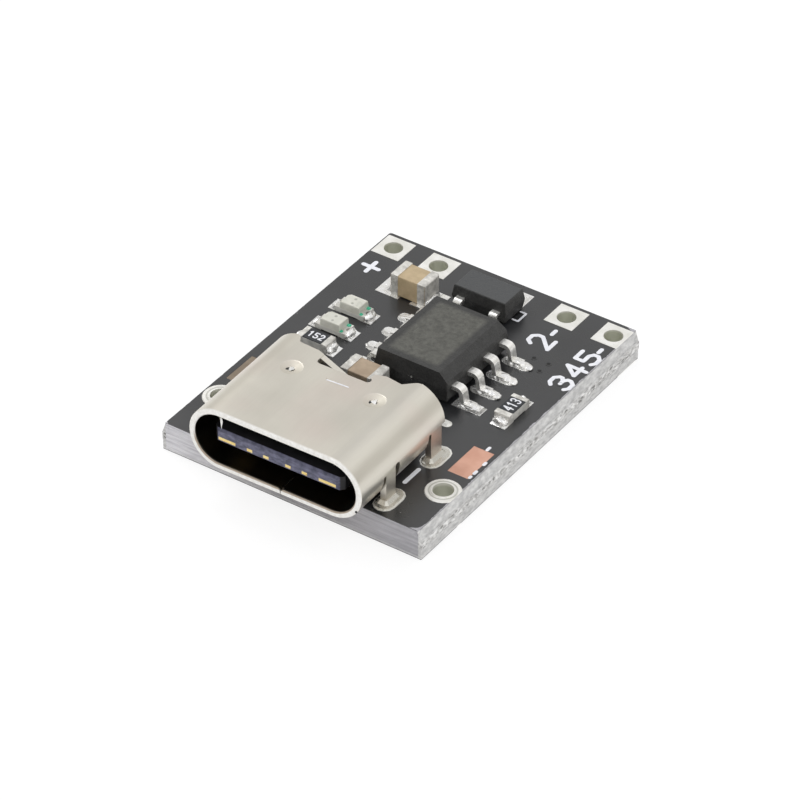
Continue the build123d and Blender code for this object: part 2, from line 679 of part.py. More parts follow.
def chip_capacitor(name, place, lands, cap_l):
    x, y, length, width, height = place
    skin = 0.03
    base = land_top
    with BuildPart() as ceramic:
        with Locations((x, y, base + skin)):
            Box(length - 2 * skin, width - 2 * skin, height - 2 * skin,
                align=(Align.CENTER, Align.CENTER, Align.MIN))
        fillet(ceramic.edges().filter_by(Axis.X), 0.05)
    keep(ceramic.part, f"{name}_ceramic")
    with BuildPart() as caps:
        for side in (-1, 1):
            with Locations((x + side * (length - cap_l) / 2, y, base)):
                Box(cap_l, width, height, align=(Align.CENTER, Align.CENTER, Align.MIN))
        outer = caps.faces().sort_by(Axis.X)
        chamfer(outer[0].edges().filter_by(Axis.Z) + outer[-1].edges().filter_by(Axis.Z), 0.07)
        outer = caps.faces().sort_by(Axis.X)
        fillet(outer[0].edges().sort_by(Axis.Z)[-1:] + outer[-1].edges().sort_by(Axis.Z)[-1:], 0.1)
        add(ceramic.part, mode=Mode.SUBTRACT)
    keep(caps.part, f"{name}_end_caps")
    with BuildPart() as joints:
        for land, side in zip(lands, (-1, 1)):
            face = x + side * (length / 2 - 0.02)
            tip = land[0] + side * (land[2] / 2 - 0.02)
            reach = min(abs(tip - face), 0.5)
            add(land_and_wedge(land, face, face + side * max(reach, 0.1), width - 0.1, 0.45))
        add(caps.part, mode=Mode.SUBTRACT)
    keep(joints.part, f"{name}_solder")


chip_capacitor("cell_capacitor", cell_cap, cell_cap_lands, 0.42)
chip_capacitor("input_capacitor", input_cap, input_cap_lands, 0.42)


def chip_resistor(name, place, along):
    x, y = place
    turn = 0 if along == "x" else 90
    skin, coat_t, cap_l = 0.02, 0.03, 0.28
    seat = Location((x, y, land_top), (0, 0, turn))
    with BuildPart() as ceramic:
        with Locations(seat * Location((0, 0, skin))):
            Box(chip_l - 2 * skin, chip_w - 0.02, resistor_t - 2 * skin - coat_t,
                align=(Align.CENTER, Align.CENTER, Align.MIN))
    keep(ceramic.part, f"{name}_ceramic")
    with BuildPart() as coat:
        with Locations(seat * Location((0, 0, resistor_t - skin - coat_t))):
            Box(chip_l - 2 * cap_l, chip_w - 0.06, coat_t + skin,
                align=(Align.CENTER, Align.CENTER, Align.MIN))
        fillet(coat.faces().sort_by(Axis.Z)[-1].edges(), 0.02)
    keep(coat.part, f"{name}_coat")
    with BuildPart() as caps:
        with Locations([seat * Location((s * (chip_l - cap_l) / 2, 0, 0)) for s in (-1, 1)]):
            Box(cap_l, chip_w, resistor_t, align=(Align.CENTER, Align.CENTER, Align.MIN))
        axis = Axis.X if along == "x" else Axis.Y
        outer = caps.faces().sort_by(axis)
        fillet(outer[0].edges().sort_by(Axis.Z)[-1:] + outer[-1].edges().sort_by(Axis.Z)[-1:], 0.07)
        add(ceramic.part, mode=Mode.SUBTRACT)
    keep(caps.part, f"{name}_end_caps")
    with BuildPart() as joints:
        for s in (-1, 1):
            if along == "x":
                land = (x + s * chip_land_mid, y, chip_land_size, chip_w)
                middle = x
            else:
                land = (x, y + s * chip_land_mid, chip_w, chip_land_size)
                middle = y
            add(land_and_wedge(land, middle + s * (chip_l / 2 - 0.02), middle + s * (chip_land_out - 0.01),
                               chip_w - 0.08, resistor_t - 0.06, along))
        add(caps.part, mode=Mode.SUBTRACT)
    keep(joints.part, f"{name}_solder")


chip_resistor("lamp_resistor", lamp_resistor, "x")
chip_resistor("current_resistor", current_resistor, "y")

for name, y in lamp_ys.items():
    end_l = 0.24
    with BuildPart() as lamp_base:
        with Locations((lamp_x, y, land_top + 0.02)):
            Box(chip_l - 0.04, chip_w, lamp_base_t - 0.04, align=(Align.CENTER, Align.CENTER, Align.MIN))
        # Half hole in each end, where the panel's plated holes were cut through
        with BuildSketch(Plane.XY.offset(land_top)):
            with Locations([(lamp_x + s * chip_l / 2, y) for s in (-1, 1)]):
                RegularPolygon(0.17, 8)
        extrude(amount=1, mode=Mode.SUBTRACT)
    with BuildPart() as terminals:
        for s in (-1, 1):
            with Locations((lamp_x + s * (chip_l - end_l) / 2, y, land_top)):
                Box(end_l, chip_w, lamp_base_t, align=(Align.CENTER, Align.CENTER, Align.MIN))
        with BuildSketch(Plane.XY.offset(land_top)):
            with Locations([(lamp_x + s * chip_l / 2, y) for s in (-1, 1)]):
                RegularPolygon(0.15, 8)
        extrude(amount=1, mode=Mode.SUBTRACT)
        add(lamp_base.part, mode=Mode.SUBTRACT)
    keep(lamp_base.part, f"{name}_base")
    keep(terminals.part, f"{name}_terminals")
    with BuildPart() as lens:
        with BuildSketch(Plane.XY.offset(land_top + lamp_base_t - 0.02)):
            with Locations((lamp_x, y)):
                Rectangle(lens_l, chip_w - 0.02)
        extrude(amount=lamp_top - lamp_base_t, taper=4)
        # One corner is cut to show the polarity
        posts = lens.edges().filter_by(lambda e: abs(e.tangent_at(0.5).Z) > 0.9)
        chamfer(posts.sort_by(lambda e: e.center().X - e.center().Y)[0], 0.14)
        fillet(lens.faces().sort_by(Axis.Z)[-1].edges(), 0.05)
    keep(lens.part, f"{name}_lens")

with BuildPart() as lamp_solder:
    for y in lamp_ys.values():
        for s in (-1, 1):
            land = (lamp_x + s * chip_land_mid, y, chip_land_size, chip_w)
            add(land_and_wedge(land, lamp_x + s * chip_l / 2, lamp_x + s * (chip_land_out - 0.01),
                               chip_w - 0.1, lamp_base_t + 0.02))
keep(lamp_solder.part, "lamp_solder")
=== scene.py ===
# %% [markdown]
# # Charger module
# A small lithium cell charger board, dressed for a product picture. The solids of the board and its
# parts come in as a fixed frame, in metres. This lesson gives each of them a procedural finish, then
# adds what is too thin for a solid: the white print, the drilled vias, solder crumbs and broken edges.
# It ends with a plain floor, soft light and the photograph's point of view.

import json
import math

import bmesh
import bpy
from mathutils import Matrix, Vector, noise


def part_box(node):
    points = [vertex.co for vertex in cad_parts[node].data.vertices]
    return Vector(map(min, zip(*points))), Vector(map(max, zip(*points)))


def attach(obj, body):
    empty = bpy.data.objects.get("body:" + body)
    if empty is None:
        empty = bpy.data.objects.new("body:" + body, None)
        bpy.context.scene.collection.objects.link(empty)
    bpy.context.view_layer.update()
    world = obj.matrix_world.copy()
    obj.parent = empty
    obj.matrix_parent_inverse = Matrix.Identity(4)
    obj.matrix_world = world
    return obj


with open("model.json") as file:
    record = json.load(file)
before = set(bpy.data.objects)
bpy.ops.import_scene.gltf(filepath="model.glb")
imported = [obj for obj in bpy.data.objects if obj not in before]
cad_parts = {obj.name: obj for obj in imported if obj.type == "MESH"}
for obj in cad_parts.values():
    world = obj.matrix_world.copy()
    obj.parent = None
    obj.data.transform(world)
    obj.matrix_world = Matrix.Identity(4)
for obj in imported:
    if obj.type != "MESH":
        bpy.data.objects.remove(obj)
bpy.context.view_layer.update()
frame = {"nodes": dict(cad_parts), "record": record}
nodes = frame["nodes"]
bpy.context.scene.view_settings.view_transform = "Standard"
MM = 0.001
print("nodes", len(nodes))

# %% [markdown]
# Heights, edges and the boxes of the larger parts are read from the frame. Typed in, they would be
# left behind by a change of the board. What the frame can't tell, such as a via's place or the
# receptacle's turn, is a named value where it is first needed. Everything below counts in millimetres,
# from the middle of the board's underside, and the board's upper face is the top of its solder mask.

# %% Places taken from the frame


def box_mm(node):
    """Lowest and highest corner of a solid, in millimetres."""
    low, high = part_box(node)
    return low / MM, high / MM


board_top = box_mm("solder_mask_top")[1].z
board_right = box_mm("solder_mask_top")[1].x
edge_low, edge_high = box_mm("pcb_laminate")
shell_roof = box_mm("receptacle_shell")[1].z
body_low, body_high = box_mm("charger_body")
charger_middle = (body_low.x + body_high.x) / 2
print("board top", round(board_top, 3), "shell roof", round(shell_roof, 3))

# %% [markdown]
# The camera repeats the photograph's view. One could frame the board by eye. Here its angles, distance
# and aim were solved from the board's corners and drilled holes, so that each part falls on its own
# pixel. The frame is 800 pixels wide, and the lens follows from the focal length in pixels.

# %% Camera
VIEW_AZIMUTH, VIEW_ELEVATION, VIEW_ROLL = (math.radians(a) for a in (34.175, 37.41, 0.211))
VIEW_DISTANCE = 209.925
AIM = Vector((0.86, -1.551, board_top))
FRAME_PX, FOCAL_PX, SENSOR = 800, 4777, 36.0

back = Vector((math.sin(VIEW_AZIMUTH) * math.cos(VIEW_ELEVATION),
               -math.cos(VIEW_AZIMUTH) * math.cos(VIEW_ELEVATION),
               math.sin(VIEW_ELEVATION)))
level_right = Vector((0, 0, 1)).cross(back).normalized()
level_up = back.cross(level_right)
cam_right = math.cos(VIEW_ROLL) * level_right + math.sin(VIEW_ROLL) * level_up
cam_up = math.cos(VIEW_ROLL) * level_up - math.sin(VIEW_ROLL) * level_right

camera_data = bpy.data.cameras.new("camera")
camera_data.sensor_width = SENSOR
camera_data.lens = FOCAL_PX / FRAME_PX * SENSOR
camera_data.clip_start = 0.01
camera_data.clip_end = 10
camera = bpy.data.objects.new("camera", camera_data)
bpy.context.scene.collection.objects.link(camera)
turn = Matrix((cam_right, cam_up, back)).transposed().to_4x4()
camera.matrix_world = Matrix.Translation((AIM + back * VIEW_DISTANCE) * MM) @ turn
bpy.context.scene.camera = camera
print("lens", round(camera_data.lens, 1), "mm, camera at", [round(c, 3) for c in camera.location])

# %% [markdown]
# A node tree written link by link is long. `put` adds one node and sets or links its sockets in one
# line. Colours are given as a screen shows them, so `srgb` turns them into the linear light that
# shaders count in.

# %% Node helpers


def srgb(r, g, b):
    """Linear colour of an 8-bit screen colour."""
    return tuple((c / 255 / 12.92) if c < 11 else ((c / 255 + 0.055) / 1.055) ** 2.4
                 for c in (r, g, b)) + (1.0,)


def put(tree, kind, *plugs, **settings):
    """Adds a node. Plugs are (socket name or number, value or socket to link)."""
    node = tree.nodes.new(kind)
    for key, value in settings.items():
        setattr(node, key, value)
    for socket, value in plugs:
        if isinstance(value, bpy.types.NodeSocket):
            tree.links.new(value, node.inputs[socket])
        else:
            node.inputs[socket].default_value = value
    return node


print("screen grey 128 is", round(srgb(128, 128, 128)[0], 3), "in linear light")

# %% [markdown]
# With `put`, the few steps that every finish needs get a short name each, so that a finish reads as a
# sentence: calculate, both, blend, ramp, apart.

# %% Helpers for masks and colours


def calc(tree, operation, a, b=0.0):
    """One Math node."""
    return put(tree, "ShaderNodeMath", (0, a), (1, b), operation=operation).outputs[0]


def both(tree, *masks):
    """What all of the masks cover."""
    result = masks[0]
    for mask in masks[1:]:
        result = calc(tree, "MULTIPLY", result, mask)
    return result


def blend(tree, amount, low, high):
    """Mixes two colours."""
    return put(tree, "ShaderNodeMix", (0, amount), (6, low), (7, high), data_type="RGBA").outputs[2]


def ramp(tree, value, low, high, out_low=0.0, out_high=1.0):
    """Clamped linear step from one value to another."""
    return put(tree, "ShaderNodeMapRange", ("Value", value), ("From Min", low), ("From Max", high),
               ("To Min", out_low), ("To Max", out_high)).outputs[0]


def apart(tree, vector):
    """X, Y and Z of a place."""
    return put(tree, "ShaderNodeSeparateXYZ", ("Vector", vector)).outputs


print("helpers", [f.__name__ for f in (calc, both, blend, ramp, apart)])

# %% [markdown]
# What several finishes share becomes a node group. A group needs named sockets on both sides, and this
# helper makes them from two short lists.

# %% Helper for node groups
VECTOR, FLOAT, COLOR = "NodeSocketVector", "NodeSocketFloat", "NodeSocketColor"


def new_group(name, inputs, outputs):
    """Empty node group with named sockets. Each is (name, type, default)."""
    tree = bpy.data.node_groups.new(name, "ShaderNodeTree")
    for label, kind, value in inputs:
        socket = tree.interface.new_socket(label, in_out="INPUT", socket_type=kind)
        if value is not None:
            socket.default_value = value
    for label, kind in outputs:
        tree.interface.new_socket(label, in_out="OUTPUT", socket_type=kind)
    return tree, tree.nodes.new("NodeGroupInput"), tree.nodes.new("NodeGroupOutput")


print("node groups so far", len(bpy.data.node_groups))

# %% [markdown]
# Cloudy colour is in nearly every finish here: no metal, resin or ceramic is one flat tone. A noise
# could be set up again in each material. As a group it is built once, and each finish gives its own
# scale and its two colours. The group also puts out its value, for roughness and bump.

# %% Group: clouds
cloud_group, inlet, outlet = new_group(
    "Clouds",
    [("Vector", VECTOR, None), ("Scale", FLOAT, 1.0), ("Detail", FLOAT, 3.0), ("From", FLOAT, 0.35),
     ("To", FLOAT, 0.65), ("Low", COLOR, (0, 0, 0, 1)), ("High", COLOR, (1, 1, 1, 1))],
    [("Color", COLOR), ("Value", FLOAT)])
cloud_noise = put(cloud_group, "ShaderNodeTexNoise", ("Vector", inlet.outputs["Vector"]),
                  ("Scale", inlet.outputs["Scale"]), ("Detail", inlet.outputs["Detail"]))
value = ramp(cloud_group, cloud_noise.outputs["Fac"], inlet.outputs["From"], inlet.outputs["To"])
tint = blend(cloud_group, value, inlet.outputs["Low"], inlet.outputs["High"])
cloud_group.links.new(tint, outlet.inputs["Color"])
cloud_group.links.new(value, outlet.inputs["Value"])
print("group", cloud_group.name, "with", len(cloud_group.nodes), "nodes")

# %% [markdown]
# Specks are the sparse things: dust on the mask, pits in tin, torn bundles of glass. A Voronoi texture
# gives each cell a point and a random colour. The distance makes a dot, and the colour says which
# cells go without one.

# %% Group: specks
speck_group, inlet, outlet = new_group(
    "Specks",
    [("Vector", VECTOR, None), ("Scale", FLOAT, 1.0), ("Size", FLOAT, 0.1), ("Sparse", FLOAT, 0.5)],
    [("Mask", FLOAT)])
cells = put(speck_group, "ShaderNodeTexVoronoi", ("Vector", inlet.outputs["Vector"]),
            ("Scale", inlet.outputs["Scale"]), ("Randomness", 1.0))
near = ramp(speck_group, cells.outputs["Distance"], inlet.outputs["Size"],
            calc(speck_group, "MULTIPLY", inlet.outputs["Size"], 0.5))
cell_tint = put(speck_group, "ShaderNodeSeparateColor", ("Color", cells.outputs["Color"])).outputs[0]
lucky = calc(speck_group, "GREATER_THAN", cell_tint, inlet.outputs["Sparse"])
speck_group.links.new(calc(speck_group, "MULTIPLY", near, lucky), outlet.inputs["Mask"])
print("group", speck_group.name, "with", len(speck_group.nodes), "nodes")

# %% [markdown]
# A band is one where a value lies between two levels, with soft edges. The score lines of the board,
# the margins of a package's roof and the mouth of the receptacle are all bands of X, Y or Z.

# %% Group: band
band_group, inlet, outlet = new_group(
    "Band",
    [("Value", FLOAT, 0.0), ("Low", FLOAT, 0.0), ("High", FLOAT, 1.0), ("Soft", FLOAT, 0.05)],
    [("Mask", FLOAT)])
rise = ramp(band_group, inlet.outputs["Value"],
            calc(band_group, "SUBTRACT", inlet.outputs["Low"], inlet.outputs["Soft"]),
            calc(band_group, "ADD", inlet.outputs["Low"], inlet.outputs["Soft"]))
fall = ramp(band_group, inlet.outputs["Value"],
            calc(band_group, "SUBTRACT", inlet.outputs["High"], inlet.outputs["Soft"]),
            calc(band_group, "ADD", inlet.outputs["High"], inlet.outputs["Soft"]), 1.0, 0.0)
band_group.links.new(calc(band_group, "MULTIPLY", rise, fall), outlet.inputs["Mask"])
print("node groups", [g.name for g in bpy.data.node_groups])

# %% [markdown]
# Every material starts the same way: a Principled shader, and Object coordinates scaled to
# millimetres. Generated coordinates would stretch with each part, but with these a grain of 0.1 mm
# is 0.1 mm on the board and on the smallest resistor.

# %% Start of a material


def new_material(name, roughness, metallic=0.0, ior=1.5):
    """Material with its own shader values, and the place on the object in millimetres."""
    mat = bpy.data.materials.new(name)
    mat.use_nodes = True
    tree = mat.node_tree
    shader = tree.nodes["Principled BSDF"]
    shader.inputs["Roughness"].default_value = roughness
    shader.inputs["Metallic"].default_value = metallic
    shader.inputs["IOR"].default_value = ior
    place = put(tree, "ShaderNodeTexCoord").outputs["Object"]
    in_mm = put(tree, "ShaderNodeMapping", ("Vector", place), ("Scale", (1 / MM,) * 3)).outputs[0]
    return mat, tree, shader, in_mm


def stretched(tree, vector, x, y, z):
    """The same place, squeezed along each axis so that a noise gets streaks."""
    return put(tree, "ShaderNodeMapping", ("Vector", vector), ("Scale", (x, y, z))).outputs[0]


print("one grain of 1 mm has a scale of", round(1 / MM))

# %% [markdown]
# The patterns that a finish places are the groups from above, called by name with this finish's own
# values, and the distance from a spot, for what is round.

# %% Patterns


def clouds(tree, vector, scale, low, high, detail=3.0, start=0.35, end=0.65):
    """Cloudy colour between two screen colours, and its value."""
    node = put(tree, "ShaderNodeGroup", ("Vector", vector), ("Scale", scale), ("Detail", detail),
               ("From", start), ("To", end), ("Low", srgb(*low)), ("High", srgb(*high)),
               node_tree=cloud_group)
    return node.outputs["Color"], node.outputs["Value"]


def uneven(tree, vector, scale, detail=2.0, start=0.2, end=0.8):
    """Only the value of a cloud, for roughness and bump."""
    return clouds(tree, vector, scale, (0, 0, 0), (255, 255, 255), detail, start, end)[1]


def specks(tree, vector, scale, size, sparse):
    """Mask of sparse dots."""
    return put(tree, "ShaderNodeGroup", ("Vector", vector), ("Scale", scale), ("Size", size),
               ("Sparse", sparse), node_tree=speck_group).outputs["Mask"]


def band(tree, value, low, high, soft):
    """Mask of what lies between two levels."""
    return put(tree, "ShaderNodeGroup", ("Value", value), ("Low", low), ("High", high),
               ("Soft", soft), node_tree=band_group).outputs["Mask"]


def distance(tree, vector, spot):
    """How far the place is from a spot, in millimetres."""
    return put(tree, "ShaderNodeVectorMath", (0, vector), (1, spot), operation="DISTANCE").outputs["Value"]


print("patterns", [f.__name__ for f in (clouds, uneven, specks, band, distance)])

# %% [markdown]
# Three sockets of the shader change over the surface in nearly every finish: its colour, its roughness
# and its normal. Each has a helper, and a last one keeps the finished material under its slot's name.

# %% Sockets of a finish


def bump(tree, shader, height, depth_mm):
    """Raises the surface by a height from 0 to 1, times the depth."""
    node = put(tree, "ShaderNodeBump", ("Height", height), ("Distance", depth_mm * MM))
    tree.links.new(node.outputs[0], shader.inputs["Normal"])


def colour(tree, shader, socket):
    """Gives the shader its base colour."""
    tree.links.new(socket, shader.inputs["Base Color"])


def roughen(tree, shader, value, low, high):
    """Roughness from low to high, as the value goes from 0 to 1."""
    tree.links.new(ramp(tree, value, 0.0, 1.0, low, high), shader.inputs["Roughness"])


finishes = {}


def keep(name, mat):
    """Puts a finished material on the shelf under its name."""
    finishes[name] = mat
    print("finish", name, "with", len(mat.node_tree.nodes), "nodes")


print("finishes so far", len(finishes))

# %% [markdown]
# The laminate shows only at the board's edges. It was sawn at the front and rear, scored at both
# sides and then snapped, so each side has a smooth slope above, a torn web of glass and resin in the
# middle, and a smooth band below. A material for each zone would need the solid cut up. One material
# can do all of them, because the height and the side tell them apart. Bands of Z pick the web,
# stretched clouds draw its fibres, and the sawn faces get streaks. Towards the left the sawn front is
# painted paler: painted light that lifts the shade it lies in.

# %% Finish: laminate
WEB_LOW, WEB_HIGH = 0.56, 0.97
RESIN_LOW, RESIN_HIGH = 0.06, 0.13
SNAP_SOFT = 0.02
mat, tree, shader, at = new_material("glass_laminate", 0.7)
x, _, z = apart(tree, at)
side = ramp(tree, calc(tree, "ABSOLUTE", x), board_right - SNAP_SOFT, board_right + SNAP_SOFT)
web = both(tree, side, band(tree, z, WEB_LOW, WEB_HIGH, 0.04))
fibres = stretched(tree, at, 1.0, 0.6, 1.3)
torn, torn_value = clouds(tree, fibres, 6.0, (188, 187, 185), (250, 250, 249), 6.0, 0.34, 0.6)
smooth, smooth_value = clouds(tree, fibres, 4.5, (194, 194, 194), (230, 230, 229), 8.0)
saw_marks = stretched(tree, at, 0.6, 1.0, 9.0)
sawn, _ = clouds(tree, saw_marks, 1.0, (166, 165, 170), (190, 189, 194), 4.0)
# Painted light: the sawn front turns paler towards the left, where it lies in shade.
painted_light_sawn, _ = clouds(tree, saw_marks, 1.0, (206, 205, 211), (240, 239, 243), 4.0)
sawn = blend(tree, ramp(tree, x, -1.0, -6.0, 0.0, 0.9), sawn, painted_light_sawn)
pits = both(tree, specks(tree, stretched(tree, at, 1.0, 0.6, 1.6), 4.5, 0.42, 0.5), web)
base = blend(tree, side, sawn, smooth)
base = blend(tree, web, base, torn)
base = blend(tree, calc(tree, "MULTIPLY", pits, 0.7), base, srgb(120, 119, 116))
resin = band(tree, z, RESIN_LOW, RESIN_HIGH, 0.02)
base = blend(tree, calc(tree, "MULTIPLY", resin, 0.45), base, srgb(225, 225, 225))
colour(tree, shader, base)
relief = both(tree, torn_value, calc(tree, "ADD", calc(tree, "MULTIPLY", web, 0.9), 0.5))
relief = calc(tree, "ADD", relief, calc(tree, "MULTIPLY", smooth_value, 0.25))
bump(tree, shader, calc(tree, "SUBTRACT", relief, pits), 0.05)
keep("glass_laminate", mat)

# %% [markdown]
# The solder mask is a black lacquer, smooth but not a mirror. Black paint in a picture is never
# black: it reads as dark grey by its sheen, and goes really black only close to the parts, which keep
# the light off. A grey base colour would lose that. So the base is nearly black and a high index of
# refraction lifts it, a faint orange peel breaks the reflections, and a few pale specks lie on it.

# %% Finish: black solder mask
mat, tree, shader, at = new_material("black_mask", 0.28, ior=1.78)
base, value = clouds(tree, at, 0.35, (31, 32, 34), (39, 40, 42))
dust = specks(tree, at, 1.1, 0.035, 0.6)
colour(tree, shader, blend(tree, dust, base, srgb(128, 128, 126)))
roughen(tree, shader, value, 0.24, 0.32)
bump(tree, shader, uneven(tree, at, 2.2), 0.003)
keep("black_mask", mat)

# %% [markdown]
# Pads and rings were dipped in molten tin, which froze as a pale satin skin. The walls of the holes
# are tinned too, but they see less light and look olive grey. A second material for the walls is not
# needed: between the board's two faces the same one turns darker, a painted shade. The round pads also
# have a fine groove where the drilled ring meets its rim, found by the distance from the hole's axis.
# The groove is only a dark ring in the colour, a painted shade.

# %% Finish: tinned pads
RING_GROOVE, GROOVE_HALF = 0.62, 0.035
# How deep in a hole the shade is full, and between which heights the lower pad ends
SHADE_DEPTH, LOWER_PAD = 0.12, (0.02, 0.1)
mat, tree, shader, at = new_material("tinned_pad", 0.4, metallic=0.6)
base, value = clouds(tree, at, 1.3, (241, 240, 233), (251, 250, 246))
grain = specks(tree, at, 9.0, 0.3, 0.7)
base = blend(tree, calc(tree, "MULTIPLY", grain, 0.3), base, srgb(190, 188, 178))
flat = put(tree, "ShaderNodeMapping", ("Vector", at), ("Scale", (1, 1, 0))).outputs[0]
for ring in ("input_pad_left", "input_pad_right"):
    low, high = box_mm(ring)
    centre = ((low + high) / 2).to_2d().to_3d()
    reach = distance(tree, flat, centre)
    # Painted shade: the groove is a dark ring in the colour only.
    groove_shade = band(tree, reach, RING_GROOVE - GROOVE_HALF, RING_GROOVE + GROOVE_HALF, 0.03)
    base = blend(tree, calc(tree, "MULTIPLY", groove_shade, 0.6), base, srgb(150, 150, 138))
z = apart(tree, at)[2]
# Painted shade: the hole walls turn darker between the board's faces.
hole_wall_shade = both(tree, ramp(tree, z, board_top, board_top - SHADE_DEPTH), ramp(tree, z, *LOWER_PAD))
base = blend(tree, hole_wall_shade, base, srgb(214, 215, 202))
colour(tree, shader, base)
roughen(tree, shader, value, 0.36, 0.48)
bump(tree, shader, value, 0.006)
keep("tinned_pad", mat)

# %% [markdown]
# Solder wets what it touches and freezes in soft waves, so it is the shiniest metal on the board and
# shows both bright and nearly black reflections. Bump waves of a few tenths of a millimetre and a low
# roughness do that, where a flat bright grey would look like paint.
# Round the receptacle's legs it is calmer and greyer.

# %% Finish: solder
LEGS_END, LEGS_SOFT = -3.4, 0.3
mat, tree, shader, at = new_material("solder", 0.26, metallic=0.75)
base, value = clouds(tree, at, 3.0, (244, 243, 240), (254, 254, 253))
legs = ramp(tree, apart(tree, at)[1], LEGS_END + LEGS_SOFT, LEGS_END)
colour(tree, shader, blend(tree, calc(tree, "MULTIPLY", legs, 0.8), base, srgb(200, 197, 186)))
roughen(tree, shader, value, 0.32, 0.2)
calm = ramp(tree, legs, 0.0, 1.0, 1.0, 0.2)
bump(tree, shader, both(tree, uneven(tree, at, 4.2, 2.0, 0.15, 0.85), calm), 0.04)
keep("solder", mat)

# %% [markdown]
# Two lands have no tin. The one at the right is salmon coloured copper. The one at the left is
# painted a duller tan, a painted reflection that stands for its different shine. X tells them apart, so
# both share one finish.

# %% Finish: bare copper
mat, tree, shader, at = new_material("bare_copper", 0.45, metallic=0.6)
east = ramp(tree, apart(tree, at)[0], -1.0, 1.0)
salmon_copper, value = clouds(tree, at, 1.6, (220, 168, 146), (230, 182, 160))
# Painted reflection: the left land is a duller, darker tan.
dull, _ = clouds(tree, at, 1.6, (138, 124, 108), (153, 139, 122))
colour(tree, shader, blend(tree, east, dull, salmon_copper))
roughen(tree, shader, value, 0.4, 0.5)
bump(tree, shader, uneven(tree, stretched(tree, at, 8.0, 1.0, 1.0), 1.0), 0.006)
keep("bare_copper", mat)

# %% [markdown]
# The receptacle was set by hand and stands a little turned. A pattern that follows its sheet needs the
# sheet's own coordinates, so the place is turned back by the same angle. Another object's coordinates
# would do it too, but they don't survive an export.

# %% Places on the receptacle
SEAT_TURN, SEAT_X, SEAT_Y = math.radians(0.9), 0.06, -6.8
SHELL_WIDTH, SHELL_OUTER_RADIUS, SHEET = 8.94, 1.58, 0.3
SHELL_HALF_FLAT, SHELL_MID = SHELL_WIDTH / 2 - SHELL_OUTER_RADIUS, shell_roof - SHELL_OUTER_RADIUS
MID_WALL, INNER_WALL = SHELL_OUTER_RADIUS - SHEET / 2, SHELL_OUTER_RADIUS - SHEET
SHELL_FRONT, FINGER_SLOT_FRONT = -10.0, -4.78
RIM_START, RIM_END, SHADE_START = 0.03, 0.09, 0.1
DIMPLES, DISH_RADIUS = ((-2.05, -5.65), (2.26, -5.65)), 0.52


def straight_receptacle(tree, at):
    """The place with the receptacle's turn taken back, so that X, Y and Z follow the sheet."""
    moved = Matrix.Rotation(-SEAT_TURN, 2) @ Vector((SEAT_X, SEAT_Y))
    spot = put(tree, "ShaderNodeMapping", ("Vector", at), ("Rotation", (0, 0, -SEAT_TURN)),
               ("Location", (-moved.x, SEAT_Y - moved.y, 0))).outputs[0]
    return spot, apart(tree, spot)


print("shell from", SHELL_FRONT, "mm, turned by", round(math.degrees(SEAT_TURN), 1), "degrees")

# %% [markdown]
# The receptacle's shell is stainless sheet with a nickel skin. Outside it is a warm, nearly even
# satin, with faint rolling marks and soft clouds, and the dimples are duller than the roof round them.
# Inside it is in deep shade. Light that gets in through the mouth would be too bright on a clean
# mirror, so past the rim the finish is painted dark: painted shade. The rim itself was sheared, so it
# is less like a mirror, and it is paler, partly for its sheared metal and partly as a painted highlight
# of the mouth's edge. It is tarnished along its lower inner side.

# %% Finish: receptacle shell
mat, tree, shader, at = new_material("shell_steel", 0.3, metallic=1.0)
spot, (x, y, z) = straight_receptacle(tree, at)
beyond = calc(tree, "MAXIMUM", calc(tree, "SUBTRACT", calc(tree, "ABSOLUTE", x), SHELL_HALF_FLAT), 0.0)
lift = calc(tree, "SUBTRACT", z, SHELL_MID)
radius = calc(tree, "POWER", calc(tree, "ADD", both(tree, beyond, beyond), both(tree, lift, lift)), 0.5)
inner_shade = ramp(tree, radius, MID_WALL + 0.03, MID_WALL - 0.03)
inner_shade = both(tree, inner_shade, band(tree, y, SHELL_FRONT + SHADE_START, FINGER_SLOT_FRONT, 0.06))
outside = calc(tree, "SUBTRACT", 1.0, inner_shade)
long_clouds = stretched(tree, spot, 1.0, 0.55, 1.0)
warm, value = clouds(tree, long_clouds, 0.42, (214, 210, 199), (225, 221, 210), 2.0, 0.2, 0.8)
rolled = uneven(tree, stretched(tree, spot, 8.0, 0.7, 8.0), 1.0, 3.0)
rosy = uneven(tree, spot, 0.28, 1.0, 0.5, 0.7)
warm = blend(tree, calc(tree, "MULTIPLY", rosy, 0.5), warm, srgb(224, 210, 202))
base = blend(tree, calc(tree, "MULTIPLY", rolled, 0.15), warm, srgb(196, 189, 178))
rim = ramp(tree, y, SHELL_FRONT + RIM_END, SHELL_FRONT + RIM_START)
# The rim is paler: its sheared metal, and a painted highlight of the mouth's edge.
sheared_highlight, _ = clouds(tree, spot, 6.0, (238, 236, 231), (253, 252, 249), 4.0)
base = blend(tree, rim, base, sheared_highlight)
tarnish = ramp(tree, radius, INNER_WALL + 0.07, INNER_WALL + 0.03)
tarnish = both(tree, rim, tarnish, ramp(tree, lift, 0.0, -0.4))
base = blend(tree, calc(tree, "MULTIPLY", tarnish, 0.8), base, srgb(150, 122, 84))
tree.links.new(ramp(tree, rim, 0.0, 1.0, 1.0, 0.25), shader.inputs["Metallic"])
